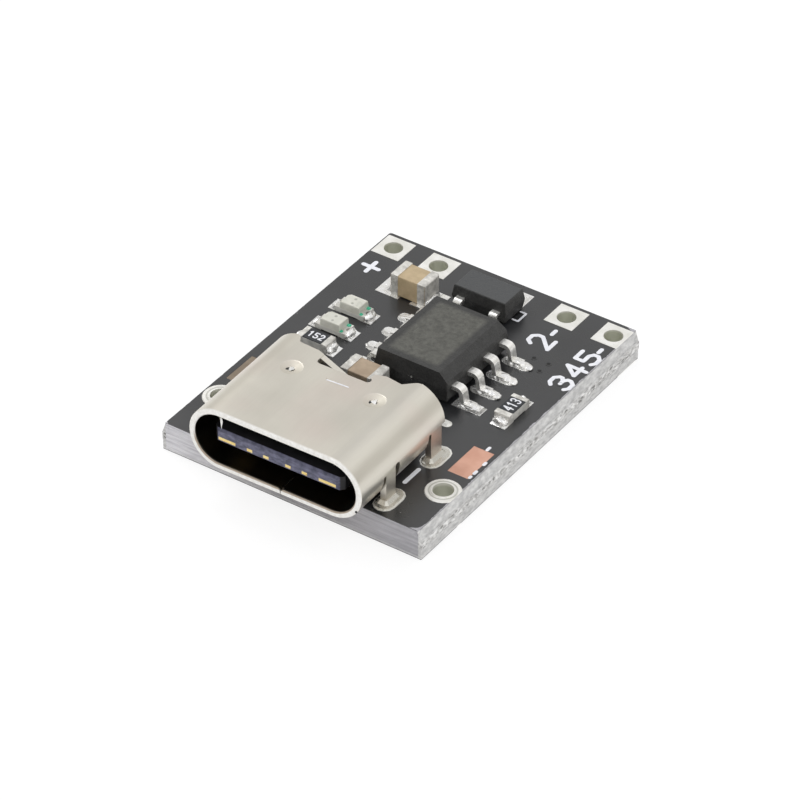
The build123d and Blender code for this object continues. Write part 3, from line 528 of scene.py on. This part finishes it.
# Painted shade: past the rim the inside goes dark.
base = blend(tree, inner_shade, base, srgb(88, 83, 74))
colour(tree, shader, base)
dull = calc(tree, "MULTIPLY", calc(tree, "ADD", both(tree, value, outside), rim), 0.3)
for dimple in DIMPLES:
    reach = distance(tree, spot, (*dimple, shell_roof))
    dull = calc(tree, "MAXIMUM", dull, ramp(tree, reach, DISH_RADIUS + 0.04, DISH_RADIUS - 0.06))
roughen(tree, shader, dull, 0.3, 0.62)
bump(tree, shader, uneven(tree, spot, 0.5, 2.0, 0.0, 1.0), 0.03)
keep("shell_steel", mat)

# %% [markdown]
# The steel plate inside the tongue shows only as two thin latch edges. Fine lines along its length
# are enough.

# %% Finish: plate in the tongue
mat, tree, shader, at = new_material("plate_steel", 0.35, metallic=1.0)
base, value = clouds(tree, stretched(tree, at, 1.0, 4.0, 1.0), 2.0, (150, 150, 148), (186, 186, 183))
colour(tree, shader, base)
roughen(tree, shader, value, 0.3, 0.42)
keep("plate_steel", mat)

# %% [markdown]
# The contacts are gilded copper alloy. Their tips look pale yellow at the tongue's front, and their
# tails behind were dipped in solder, so they are grey. Y tells tip from tail.

# %% Finish: gilded contacts
TAIL_Y = -4.3
mat, tree, shader, at = new_material("contact_gold", 0.3, metallic=0.7)
gold, value = clouds(tree, at, 2.5, (226, 196, 120), (240, 218, 152))
tin, _ = clouds(tree, at, 2.5, (196, 195, 190), (232, 231, 226))
tail = ramp(tree, apart(tree, at)[1], TAIL_Y - 0.1, TAIL_Y)
colour(tree, shader, blend(tree, tail, gold, tin))
roughen(tree, shader, value, 0.26, 0.38)
keep("contact_gold", mat)

# %% [markdown]
# The formed leads were tinned before bending. They are nearly as bright as solder, but a little
# rougher, and their skin is flatter.

# %% Finish: formed leads
mat, tree, shader, at = new_material("lead_tin", 0.3, metallic=0.8)
base, value = clouds(tree, at, 2.4, (238, 237, 232), (253, 252, 249))
colour(tree, shader, base)
roughen(tree, shader, value, 0.24, 0.36)
bump(tree, shader, uneven(tree, at, 5.0), 0.012)
keep("lead_tin", mat)

# %% [markdown]
# The end caps of the chip parts are plated over a fired paste, so they are lumpy and half matt, with
# grey shade in every hollow. More detail in the cloud gives that crust.

# %% Finish: end caps
mat, tree, shader, at = new_material("end_cap_tin", 0.44, metallic=0.5)
base, value = clouds(tree, at, 2.8, (196, 194, 188), (240, 238, 232), 4.0)
colour(tree, shader, base)
roughen(tree, shader, value, 0.52, 0.36)
bump(tree, shader, uneven(tree, at, 4.5, 4.0, 0.3, 0.7), 0.03)
keep("end_cap_tin", mat)

# %% [markdown]
# The tongue is black moulded plastic. Its front face is painted slate grey with a violet tinge, a
# painted light for the one face that catches light in the dark mouth. It is nearly all that shows
# there, so its place along Y picks it out.

# %% Finish: tongue moulding
TONGUE_FACE = SHELL_FRONT + 0.4
mat, tree, shader, at = new_material("tongue_moulding", 0.5)
spot, (_, y, _) = straight_receptacle(tree, at)
black, value = clouds(tree, at, 1.5, (30, 30, 32), (40, 40, 43))
# Painted light: the front face is slate grey where the rest is black.
lit_slate, _ = clouds(tree, stretched(tree, spot, 1.0, 1.0, 2.0), 3.0, (70, 72, 92), (112, 112, 136), 4.0)
face = ramp(tree, y, TONGUE_FACE + 0.04, TONGUE_FACE)
colour(tree, shader, blend(tree, face, black, lit_slate))
roughen(tree, shader, value, 0.45, 0.6)
bump(tree, shader, value, 0.01)
keep("tongue_moulding", mat)

# %% [markdown]
# Both circuits are moulded in black epoxy. The charger's roof was blasted: it has a paler, gritty
# patch inside a darker, smoother margin. A band of X, a band of Y and the height of the roof draw the
# patch. The small protection circuit behind it has a paler grey roof, picked by its place and by
# faces that look up.

# %% Finish: black packages
PATCH_LEFT, PATCH_RIGHT, PATCH_FRONT, PATCH_REAR = 0.5, 0.86, 0.5, 0.45
PATCH_SOFT = 0.12
mat, tree, shader, at = new_material("package_black", 0.6)
x, y, z = apart(tree, at)
base, value = clouds(tree, at, 2.4, (37, 37, 37), (47, 47, 47))
up = apart(tree, put(tree, "ShaderNodeNewGeometry").outputs["Normal"])[2]
# The protection circuit's upward faces are a paler grey.
pale_roof = both(tree, ramp(tree, up, 0.85, 1.0), ramp(tree, y, body_high.y, body_high.y + 0.2))
base = blend(tree, pale_roof, base, srgb(70, 72, 74))
patch = both(tree, band(tree, x, body_low.x + PATCH_LEFT, body_high.x - PATCH_RIGHT, PATCH_SOFT),
             band(tree, y, body_low.y + PATCH_FRONT, body_high.y - PATCH_REAR, PATCH_SOFT),
             ramp(tree, z, body_high.z - 0.02, body_high.z - 0.005))
blasted, grit = clouds(tree, at, 5.0, (82, 82, 77), (103, 103, 97), 6.0)
fine_grit = uneven(tree, at, 16.0, 3.0, 0.3, 0.7)
base = blend(tree, patch, base, blasted)
base = blend(tree, calc(tree, "MULTIPLY", fine_grit, 0.16), base, srgb(110, 110, 106))
colour(tree, shader, base)
height = both(tree, calc(tree, "ADD", grit, fine_grit), calc(tree, "ADD", patch, 0.5))
bump(tree, shader, height, 0.014)
roughen(tree, shader, patch, 0.5, 0.72)
keep("package_black", mat)

# %% [markdown]
# The next finishes are all matt: fired ceramics, coats, paint and ink. They differ only in colour,
# grain and roughness, so a loop over a small table makes them. Each row gives the name, the darker and
# the paler colour, the scale of the clouds and the roughness.

# %% Finish: ceramics, coat and ink
MATT = [("capacitor_tan", (184, 164, 130), (200, 179, 144), 2.2, 0.5),
        ("capacitor_pink_tan", (170, 150, 127), (186, 166, 142), 2.2, 0.5),
        ("alumina", (176, 176, 172), (206, 205, 200), 3.0, 0.6),
        ("resistor_coat", (34, 37, 41), (46, 49, 54), 4.0, 0.4),
        ("lamp_base", (212, 212, 205), (230, 229, 223), 3.0, 0.5),
        ("print_ink", (236, 238, 245), (248, 249, 253), 4.0, 0.6),
        ("polarity_green", (36, 176, 128), (96, 214, 176), 5.0, 0.5),
        ("via_shade", (12, 12, 13), (22, 22, 23), 5.0, 0.6)]
for name, low, high, scale, rough in MATT:
    mat, tree, shader, at = new_material(name, rough)
    base, value = clouds(tree, at, scale, low, high, 4.0)
    colour(tree, shader, base)
    roughen(tree, shader, value, rough - 0.06, rough + 0.08)
    bump(tree, shader, value, 0.008)
    keep(name, mat)

# %% [markdown]
# A lamp's lens is milky resin over two small grey dies. Clear resin with dies inside would show them
# too sharply, because the real one is cloudy. So the dies are soft dark spots near the lens's top.
# Each is given by its place from the lens's middle and its radius.

# %% Finish: lamp lenses
DIE_SPOTS = [(0.0, 0.14, 0.1), (0.04, -0.2, 0.085)]
mat, tree, shader, at = new_material("lamp_lens", 0.3)
base, value = clouds(tree, at, 1.8, (209, 209, 198), (226, 225, 215), 4.0)
for lamp in ("charge_lamp", "full_lamp"):
    low, high = box_mm(lamp + "_lens")
    middle = (low + high) / 2
    for dx, dy, size in DIE_SPOTS:
        reach = distance(tree, at, (middle.x + dx, middle.y + dy, high.z))
        base = blend(tree, ramp(tree, reach, size, size * 0.4, 0.0, 0.6), base, srgb(128, 128, 118))
colour(tree, shader, base)
shader.inputs["Subsurface Weight"].default_value = 0.15
shader.inputs["Subsurface Radius"].default_value = (0.0003, 0.0003, 0.00025)
roughen(tree, shader, value, 0.26, 0.4)
bump(tree, shader, uneven(tree, at, 2.5), 0.02)
keep("lamp_lens", mat)

# %% [markdown]
# Each solid now takes the finish that its slot in the record names. Doing this in one loop means that
# no solid can be forgotten.

# %% Hand the finishes to the solids
for part in frame["record"]["subparts"]:
    for slot in nodes[part["node"]].material_slots:
        slot.material = finishes[part["material_slot"]]

# %% [markdown]
# The pieces that follow are modelled in millimetres with bmesh operators. One function closes each of
# them the same way: faces turned outwards, scaled to metres, given its finish, and set to ride on the
# board. The object itself stays at the origin.

# %% Close a piece


def new_piece(name, bm, slot, *materials, smooth=False):
    """Makes the bmesh a piece of the board, with its finish. The slot is not used."""
    bmesh.ops.recalc_face_normals(bm, faces=bm.faces)
    bmesh.ops.scale(bm, vec=(MM,) * 3, verts=bm.verts)
    mesh = bpy.data.meshes.new(name)
    for face in bm.faces:
        face.smooth = smooth
    bm.to_mesh(mesh)
    bm.free()
    for material in materials:
        mesh.materials.append(finishes[material])
    piece = bpy.data.objects.new(name, mesh)
    bpy.context.scene.collection.objects.link(piece)
    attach(piece, "root")
    print(name, len(mesh.polygons), "faces")


# %% [markdown]
# The white print is a film of ink, drawn with a round pen. A font would bring a typeface along, and a
# flat decal has no edge. Here each stroke is a thin solid with round ends: the hull of four small
# circles, two for each end. In a sign each next stroke is a hair lower, so that no two tops lie in
# one plane.

# %% Pen strokes
INK_THICK, INK_STEP, PEN_STEPS = 0.014, 0.0004, 12


def stroke(bm, start, end, width, level, thickness):
    """A straight stroke with round ends."""
    circles = []
    for spot in (start, end):
        for z in (level, level + thickness):
            place = Matrix.Translation((spot[0], spot[1], z))
            circle = bmesh.ops.create_circle(bm, segments=PEN_STEPS, radius=width / 2, matrix=place)
            circles += circle["verts"]
    hull = bmesh.ops.convex_hull(bm, input=circles)
    spare = [v for v in hull["geom_interior"] + hull["geom_unused"] if isinstance(v, bmesh.types.BMVert)]
    bmesh.ops.delete(bm, geom=list(set(spare)), context="VERTS")


def draw(bm, lines, place, width, level):
    """Draws lines of points. `place` turns a glyph's point into a point on the board."""
    count = 0
    for line in lines:
        for start, end in zip(line, line[1:]):
            stroke(bm, place(start), place(end), width, level, INK_THICK - count * INK_STEP)
            count += 1


print("ink", INK_THICK, "mm thick, each next stroke", INK_STEP, "mm lower")

# %% [markdown]
# The board says which hole is plus and which is minus, with a number at the two minus holes. The
# numbers are plain ones, drawn with cut corners, which suits a coarse print screen. Each digit is a few
# points in a square one wide and one high, and a small function lays a row of them on the board.

# %% Digits
DIGITS = {
    "1": [[(0.2, 0.78), (0.55, 1), (0.55, 0)]],
    "2": [[(0, 0.8), (0.25, 1), (0.75, 1), (1, 0.8), (1, 0.6), (0, 0), (1, 0)]],
    "3": [[(0, 0.85), (0.25, 1), (0.75, 1), (1, 0.8), (1, 0.66), (0.72, 0.52), (1, 0.38), (1, 0.2),
           (0.75, 0), (0.25, 0), (0, 0.15)], [(0.72, 0.52), (0.4, 0.52)]],
    "4": [[(0.75, 0), (0.75, 1), (0, 0.32), (1, 0.32)]],
    "5": [[(0.95, 1), (0.05, 1), (0.05, 0.56), (0.7, 0.56), (1, 0.4), (1, 0.17), (0.72, 0), (0.25, 0),
           (0, 0.14)]],
}


def number(bm, digits, corner, along, up, size, gap, width, level):
    """A row of digits from its lower left corner. `along` and `up` are directions on the board."""
    corner, along, up = Vector(corner), Vector(along), Vector(up)
    for i, digit in enumerate(digits):
        start = corner + along * i * (size[0] + gap)
        draw(bm, DIGITS[digit], lambda p: start + along * p[0] * size[0] + up * p[1] * size[1], width, level)


print("digits at hand", *DIGITS)

# %% [markdown]
# Now the print itself: a plus at the rear left, two numbers with a minus at the right, the dash
# beside the receptacle, the bracket that marks one end of the protection circuit, and four short
# ticks round the copper land.

# %% White print
PEN, PLUS_PEN, BRACKET_PEN, TICK_PEN = 0.2, 0.22, 0.1, 0.15
PLUS, PLUS_REACH = Vector((-5.86, 5.95)), 0.41
# Name, digits, corner, size of a digit, gap, and the minus sign
MINUS_PRINTS = (
    ("print_cell_minus", "2", (4.2, 5.2), (0.7, 1.13), 0.0, [(3.75, 6.27), (3.75, 6.6)]),
    ("print_out_minus", "345", (6.53, 3.14), (0.7, 0.98), 0.41, [(6.2, 6.31), (6.2, 6.58)]))
SIDE_DASH = [(4.31, -6.25), (4.31, -5.17)]
BRACKET = [(1.66, 6.93), (1.95, 6.93), (1.95, 6.25), (1.66, 6.25)]
# X, Y and half length of each tick
TICKS = ((5.998, -2.28, 0.1), (6.446, -3.24, 0.08), (6.443, -3.978, 0.09), (6.439, -4.368, 0.05))

bm = bmesh.new()
arms = [[PLUS - d * PLUS_REACH, PLUS + d * PLUS_REACH] for d in (Vector((1, 0)), Vector((0, 1)))]
draw(bm, arms, tuple, PLUS_PEN, board_top)
new_piece("print_plus", bm, "alumina", "print_ink")

for name, digits, corner, size, gap, minus in MINUS_PRINTS:
    bm = bmesh.new()
    number(bm, digits, corner, (0, 1), (-1, 0), size, gap, PEN, board_top)
    draw(bm, [minus], tuple, PEN, board_top)
    new_piece(name, bm, "alumina", "print_ink")

bm = bmesh.new()
draw(bm, [SIDE_DASH], tuple, PEN, board_top)
draw(bm, [BRACKET], tuple, BRACKET_PEN, board_top)
for x, y, half in TICKS:
    draw(bm, [[(x, y - half), (x, y + half)]], tuple, TICK_PEN, board_top)
new_piece("print_marks", bm, "alumina", "print_ink")

# %% [markdown]
# The resistors carry their value in small figures on the dark coat. The numbers here are plain ones.
# They stand on the coat's own top, whose height comes from the frame.

# %% Numbers on the resistors
# Coat, digits, direction of the row, upward direction, size of a digit, gap and pen
COAT_NUMBERS = (
    ("lamp_resistor_coat", "152", (1, 0), (0, 1), (0.17, 0.36), 0.12, 0.07),
    ("current_resistor_coat", "413", (0, 1), (-1, 0), (0.19, 0.47), 0.12, 0.065))
for node, digits, along, up, size, gap, pen in COAT_NUMBERS:
    low, high = box_mm(node)
    middle = ((low + high) / 2).to_2d()
    row = len(digits) * size[0] + (len(digits) - 1) * gap
    corner = middle - Vector(along) * row / 2 - Vector(up) * size[1] / 2
    bm = bmesh.new()
    number(bm, digits, corner, along, up, size, gap, pen, high.z)
    new_piece(node.replace("coat", "number"), bm, "alumina", "print_ink")

# %% [markdown]
# Vias join the copper of the two sides. They are drilled holes under the lacquer, so each is a low
# ring of mask with a dark middle, the painted shade of the hole. A circle is extruded, inset and pushed
# in, which is quicker than cutting the board, and the ring catches a glint at its rim.

# %% Vias
VIA_RADIUS, VIA_RIM, VIA_UP, VIA_DOWN, VIA_STEPS = 0.15, 0.055, 0.012, 0.6, 20
VIAS = [(4.04, 4.37), (4.81, 4.36), (4.76, 3.7), (5.98, 4.54), (6.05, 3.38)]
bm = bmesh.new()
for via_x, via_y in VIAS:
    place = Matrix.Translation((via_x, via_y, board_top))
    disc = bmesh.ops.create_circle(bm, segments=VIA_STEPS, radius=VIA_RADIUS, cap_ends=True, matrix=place)
    cap = disc["verts"][0].link_faces[0]
    if cap.normal.z < 0:
        bmesh.ops.reverse_faces(bm, faces=[cap])
    top = bmesh.ops.extrude_discrete_faces(bm, faces=[cap])["faces"][0]
    bmesh.ops.translate(bm, verts=top.verts, vec=(0, 0, VIA_UP))
    bmesh.ops.inset_individual(bm, faces=[top], thickness=VIA_RIM)
    bmesh.ops.translate(bm, verts=top.verts, vec=(0, 0, -VIA_DOWN * VIA_UP))
    # The sunk middle takes the dark finish: painted shade of the hole.
    top.material_index = 1
new_piece("vias", bm, "black_mask", "black_mask", "via_shade")

# %% [markdown]
# Hand-set solder leaves crumbs and thick places that no drawing has. A ball, pulled in and out by a
# noise and pressed flat, makes a believable lump. The noise is worked out from the place, so each
# lump differs and every run gives the same ones.

# %% Solder lumps


def lump(bm, spot, size, rough=0.35, detail=3):
    """A flattened ball with an uneven skin. `size` is its half length along X, Y and Z."""
    spot = Vector(spot)
    ball = bmesh.ops.create_icosphere(bm, subdivisions=detail, radius=1.0)["verts"]
    for vert in ball:
        push = noise.noise(vert.co * 1.3 + spot * 7.0) + 0.5 * noise.noise(vert.co * 3.1 + spot * 5.0)
        vert.co = spot + Vector(c * s for c, s in zip(vert.co * (1 + rough * push), size))


LEAD_ROWS, ROW_PITCH, CHARGER_Y = 4, 1.27, 1.65
TOE = 4.14
# X, distance from the row along Y, height over the board, size and roughness
LEAD_LUMPS = ((3.78, 0.0, 0.08, (0.44, 0.26, 0.17), 0.25), (TOE, 0.02, 0.05, (0.33, 0.25, 0.1), 0.2),
              (3.42, -0.16, 0.04, (0.26, 0.13, 0.12), 0.35), (3.38, 0.17, 0.04, (0.24, 0.11, 0.1), 0.35),
              (-2.42, 0.02, 0.05, (0.26, 0.25, 0.09), 0.35), (-1.86, -0.1, 0.05, (0.24, 0.16, 0.1), 0.35))
bm = bmesh.new()
for row in range(LEAD_ROWS):
    y = CHARGER_Y + (row - (LEAD_ROWS - 1) / 2) * ROW_PITCH
    for x, dy, rise, size, rough in LEAD_LUMPS:
        # The land of the foremost lead stays flat at its toe
        if row or x != TOE:
            lump(bm, (x, y + dy, board_top + rise), size, rough)
new_piece("charger_solder_lumps", bm, "solder", "solder", smooth=True)

# %% [markdown]
# A package is moulded on a metal frame, and where it was cut off the frame a bright stub stays flush
# with the front face. One small flat lump stands for it.

# %% Stub of the frame
STUB_SHIFT, STUB_SUNK, STUB_RISE, STUB = 0.06, 0.035, 0.86, (0.075, 0.04, 0.05)
bm = bmesh.new()
lump(bm, (charger_middle + STUB_SHIFT, body_low.y + STUB_SUNK, board_top + STUB_RISE), STUB, 0.3)
new_piece("charger_frame_stub", bm, "lead_tin", "lead_tin", smooth=True)

# %% [markdown]
# The lamps, resistors and capacitors get the same lumps at their ends, smaller for the smaller parts.

# %% Lumps at the chip parts
# Place, with its height over the board, and size
CHIP_LUMPS = [
    ((-5.36, 2.64, 0.1), (0.22, 0.34, 0.13)), ((-3.6, 2.6, 0.14), (0.16, 0.36, 0.16)),
    ((-5.36, 1.1, 0.1), (0.22, 0.34, 0.13)), ((-3.6, 1.06, 0.14), (0.16, 0.36, 0.16)),
    ((-5.4, -0.28, 0.12), (0.16, 0.33, 0.2)), ((-3.62, -0.28, 0.12), (0.18, 0.35, 0.22)),
    ((5.43, -0.5, 0.14), (0.36, 0.2, 0.22)), ((5.43, 1.34, 0.12), (0.33, 0.18, 0.2)),
    ((-2.0, 5.2, 0.12), (0.12, 0.5, 0.2)), ((-4.05, 5.3, 0.06), (0.2, 0.5, 0.1)),
    ((-1.94, -1.7, 0.12), (0.12, 0.45, 0.2)), ((0.14, -1.72, 0.12), (0.14, 0.45, 0.2)),
]
bm = bmesh.new()
for (x, y, rise), size in CHIP_LUMPS:
    lump(bm, (x, y, board_top + rise), size)
new_piece("chip_solder_lumps", bm, "solder", "solder", smooth=True)

# %% [markdown]
# The receptacle has small marks of its own making. The punch left a torn, shiny point and a pit in
# each dimple, the lance left a line on the roof, a burr hangs from the roof inside the mouth, and the
# rim has one pit. They are too small for solids. So the line is one stroke of white ink, a painted
# highlight, and the rest are lumps, placed on the straight receptacle and then turned with it. The
# pits are dark lumps, a painted shade.

# %% Marks on the receptacle


def seated(x, y, z):
    """A place on the straight receptacle, turned with it."""
    arm = Vector((x - SEAT_X, y - SEAT_Y, 0))
    return Vector((SEAT_X, SEAT_Y, z)) + Matrix.Rotation(SEAT_TURN, 3, "Z") @ arm


TORN_SHIFT, TORN_DEPTH, TORN_SIZE = 0.02, 0.12, (0.16, 0.2, 0.08)
PIT_SHIFT_X, PIT_SHIFT_Y, PIT_DEPTH, PIT_SIZE = -0.1, -0.12, 0.11, (0.07, 0.14, 0.05)
BURR, BURR_SIZE = (-2.7, -9.93, shell_roof - 0.55), (0.045, 0.04, 0.3)
RIM_PIT, RIM_PIT_SIZE = (4.27, -9.995, board_top + 0.8), (0.06, 0.02, 0.07)
LANCE, LANCE_WIDTH, LANCE_SUNK, LANCE_THICK = ((-0.22, -5.57), (0.84, -5.49)), 0.06, 0.004, 0.016

bm = bmesh.new()
for x, y in DIMPLES:
    lump(bm, seated(x + TORN_SHIFT, y + TORN_SHIFT, shell_roof - TORN_DEPTH), TORN_SIZE, 0.7, 1)
lump(bm, seated(*BURR), BURR_SIZE, 0.5, 2)
new_piece("receptacle_burrs", bm, "shell_steel", "lead_tin")

# Painted highlight: the lance mark is a stroke of white ink.
bm = bmesh.new()
stroke(bm, *LANCE, LANCE_WIDTH, shell_roof - LANCE_SUNK, LANCE_THICK)
new_piece("lance_highlight", bm, "shell_steel", "print_ink")

# Painted shade: each pit is a dark lump.
bm = bmesh.new()
lump(bm, seated(*RIM_PIT), RIM_PIT_SIZE, 0.3, 2)
for x, y in DIMPLES:
    lump(bm, seated(x + PIT_SHIFT_X, y + PIT_SHIFT_Y, shell_roof - PIT_DEPTH), PIT_SIZE, 0.6, 2)
new_piece("pit_shade_lumps", bm, "shell_steel", "via_shade", smooth=True)

# %% [markdown]
# Each lamp has dabs of green paint at the end that is its minus side. They are thin, uneven spots on
# the lamp's base, so two flat lumps for each lamp do it.

# %% Green marks of the lamps
# Distance from the lens's right side, from the base's rear edge and over the base, and size
DABS = ((0.06, -0.12, 0.02, (0.12, 0.1, 0.05)), (0.03, -0.68, 0.01, (0.1, 0.1, 0.05)))
bm = bmesh.new()
for lamp in ("charge_lamp", "full_lamp"):
    base_high, lens_high = box_mm(lamp + "_base")[1], box_mm(lamp + "_lens")[1]
    for dx, dy, rise, size in DABS:
        lump(bm, (lens_high.x + dx, base_high.y + dy, base_high.z + rise), size)
new_piece("lamp_polarity_marks", bm, "lamp_base", "polarity_green", smooth=True)

# %% [markdown]
# At both sides the board was snapped, and the web between the scores tore. Bump alone would leave a
# straight outline, so the web gets a skin of its own: a grid stood on its side, pushed out by a noise
# that runs along the fibres. It sinks into the laminate at its rim, so no gap shows.

# %% Torn webs
WEB_STEPS_LONG, WEB_STEPS_HIGH, WEB_PROUD, WEB_SUNK = 320, 12, 0.075, 0.03
WEB_LAP, GRAIN_LONG, GRAIN_HIGH = 0.1, 1.6, 5.0
# How steeply the skin rises from its rim, across and along
RIM_HIGH, RIM_LONG = 5, 60
board_length = edge_high.y - edge_low.y
for name, side in (("torn_web_left", -1), ("torn_web_right", 1)):
    bm = bmesh.new()
    bmesh.ops.create_grid(bm, x_segments=WEB_STEPS_LONG, y_segments=WEB_STEPS_HIGH, size=0.5)
    for vert in bm.verts:
        along, up = vert.co.x * board_length, vert.co.y * (WEB_HIGH - WEB_LOW + WEB_LAP)
        rim = min(1.0, (0.5 - abs(vert.co.y)) * RIM_HIGH, (0.5 - abs(vert.co.x)) * RIM_LONG)
        grain = Vector((along * GRAIN_LONG, up * GRAIN_HIGH, side * 3.0))
        out = 0.5 + 0.7 * noise.noise(grain) + 0.5 * noise.noise(grain * 2.7) + 0.3 * noise.noise(grain * 6.1)
        reach = edge_high.x - WEB_SUNK + rim * WEB_PROUD * max(out, 0.0)
        vert.co = Vector((side * reach, along, (WEB_LOW + WEB_HIGH) / 2 + up))
    new_piece(name, bm, "glass_laminate", "glass_laminate")

# %% [markdown]
# Where the score met the mask, the lacquer chipped, so the black face does not end in a ruler's line.
# A thin strip of pale laminate lies along each side. Its outer edge follows the board and its inner
# edge wanders with a noise, and it widens at the corners, where the real board has lost more.

# %% Chipped edges of the mask
CHIP_STEPS, CHIP_UP, CHIP_LEAST = 400, 0.004, 0.01
WANDER_SLOW, WANDER_FAST = 2.1, 7
board_front, board_rear = edge_low.y, edge_high.y
# Name, side, mean width of the strip and its growth at the corners
CHIPPED = (("chipped_edge_left", -1, 0.02, 0.14), ("chipped_edge_right", 1, 0.07, 0.42))
for name, side, chip_width, chip_corner in CHIPPED:
    bm = bmesh.new()
    bmesh.ops.create_grid(bm, x_segments=CHIP_STEPS, y_segments=1, size=0.5)
    for vert in bm.verts:
        along = vert.co.x * board_length
        y = (board_front + board_rear) / 2 + along
        corner = max(0.0, 1 - min(y - board_front, board_rear - y) / chip_corner) ** 2
        wander = noise.noise(Vector((y * WANDER_SLOW, side, 0)))
        wander += 0.6 * noise.noise(Vector((y * WANDER_FAST, side, 4)))
        width = max(chip_width * (0.55 + wander), CHIP_LEAST) + chip_corner * corner
        x = side * (board_right - (width if vert.co.y > 0 else 0.0))
        vert.co = Vector((x, y, board_top + (CHIP_UP if vert.co.y > 0 else 0.0)))
    new_piece(name, bm, "glass_laminate", "glass_laminate")

# %% [markdown]
# At the front right corner the snap tore out crumbs of laminate, so the corner is no sharp edge. The
# lumps that serve as solder do this too, with more roughness and fewer faces.

# %% Crumbs at the corner
# Distance from the front right corner along X and Y, height, and size
CRUMBS = ((-0.02, 0.05, 1.42, 0.09), (-0.1, 0.02, 1.25, 0.08), (-0.01, 0.3, 1.38, 0.07),
          (-0.02, 0.12, 0.72, 0.1), (-0.01, 0.55, 1.1, 0.07), (-0.02, 0.22, 0.3, 0.08))
bm = bmesh.new()
for dx, dy, z, size in CRUMBS:
    lump(bm, (board_right + dx, board_front + dy, z), (size, size * 1.4, size), 0.6, 2)
new_piece("corner_crumbs", bm, "glass_laminate", "glass_laminate")

# %% [markdown]
# The object stands on a white sheet. The sheet is a plane of its own, so it is no part of the
# object. To stay white in the picture without flooding the board with light, it mixes paper with a
# glow that only the camera and mirrored or bent rays see. The paper still takes the soft shadow. From
# below the sheet is clear, so that the underside can be looked at, and it lies a hair under the board,
# because two faces in one place would flicker.

# %% Floor
FLOOR_HALF, FLOOR_DROP = 1.5, 0.02 * MM
PAPER, GLOW_SHARE, GLOW = (0.9, 0.9, 0.9, 1), 0.7, 1.12
bm = bmesh.new()
bmesh.ops.create_grid(bm, x_segments=1, y_segments=1, size=FLOOR_HALF)
bmesh.ops.translate(bm, verts=bm.verts, vec=(0, 0, -FLOOR_DROP))
mesh = bpy.data.meshes.new("floor")
bm.to_mesh(mesh)
bm.free()
floor = bpy.data.objects.new("floor", mesh)
bpy.context.scene.collection.objects.link(floor)
mat = bpy.data.materials.new("floor_white")
mat.use_nodes = True
tree = mat.node_tree
tree.nodes.remove(tree.nodes["Principled BSDF"])
paper = put(tree, "ShaderNodeBsdfDiffuse", ("Color", PAPER)).outputs[0]
glow = put(tree, "ShaderNodeEmission", ("Color", (1, 1, 1, 1)), ("Strength", GLOW)).outputs[0]
rays = put(tree, "ShaderNodeLightPath").outputs
seen = calc(tree, "MAXIMUM", rays["Is Camera Ray"], rays["Is Glossy Ray"])
seen = calc(tree, "MAXIMUM", seen, rays["Is Transmission Ray"])
mixed = put(tree, "ShaderNodeMixShader", (0, calc(tree, "MULTIPLY", seen, GLOW_SHARE)), (1, paper), (2, glow))
below = put(tree, "ShaderNodeNewGeometry").outputs["Backfacing"]
open_below = put(tree, "ShaderNodeMixShader", (0, below), (1, mixed.outputs[0]),
                 (2, put(tree, "ShaderNodeBsdfTransparent").outputs[0]))
tree.links.new(open_below.outputs[0], tree.nodes["Material Output"].inputs["Surface"])
mesh.materials.append(mat)
print("floor", 2 * FLOOR_HALF, "m wide, glow", GLOW_SHARE, "of it")

# %% [markdown]
# Metal shows its surroundings more than its lights. So the air is a soft gradient: white overhead, a
# little warmer and darker towards the horizon, which gives the shell its satin fall-off.

# %% Air
world = bpy.data.worlds.new("air")
bpy.context.scene.world = world
world.use_nodes = True
tree = world.node_tree
background = tree.nodes["Background"]
up_down = apart(tree, put(tree, "ShaderNodeTexCoord").outputs["Generated"])[2]
sky = put(tree, "ShaderNodeValToRGB", ("Fac", up_down))
stops = sky.color_ramp.elements
stops[0].position, stops[0].color = 0.0, (0.74, 0.72, 0.69, 1)
stops[1].position, stops[1].color = 1.0, (0.95, 0.96, 1.0, 1)
middle_stop = stops.new(0.45)
middle_stop.color = (0.87, 0.86, 0.84, 1)
tree.links.new(sky.outputs[0], background.inputs["Color"])
background.inputs["Strength"].default_value = 0.83
print("air stops", [round(stop.position, 2) for stop in stops])

# %% [markdown]
# One large soft light from the upper left draws the shapes and lays a gentle shadow to the right. A
# weak one from the front right opens the dark sides, and one behind draws the streak along the shell's
# bend. Two small ones are there for solder, which sparkles only where it has something small and
# bright to mirror. They add little light otherwise.

# %% Lights


def area_light(name, place_mm, size_mm, watts, tint):
    """Soft rectangular light that looks at the middle of the board."""
    data = bpy.data.lights.new(name, "AREA")
    data.shape = "RECTANGLE"
    data.size, data.size_y = (s * MM for s in size_mm)
    data.energy = watts
    data.color = tint
    light = bpy.data.objects.new(name, data)
    light.location = Vector(place_mm) * MM
    light.rotation_euler = (-light.location).to_track_quat("-Z", "Y").to_euler()
    bpy.context.scene.collection.objects.link(light)
    print("light", name, watts, "W")


area_light("key", (-70, 15, 90), (45, 45), 0.026, (1, 0.99, 0.97))
area_light("fill", (70, -30, 45), (60, 40), 0.006, (1, 0.98, 0.95))
area_light("rim", (34, 80, 82), (80, 60), 0.004, (1, 0.99, 0.97))
area_light("glint_right", (60, 10, 90), (16, 16), 0.005, (1, 1, 1))
area_light("glint_front", (-10, -75, 80), (16, 16), 0.005, (1, 1, 1))
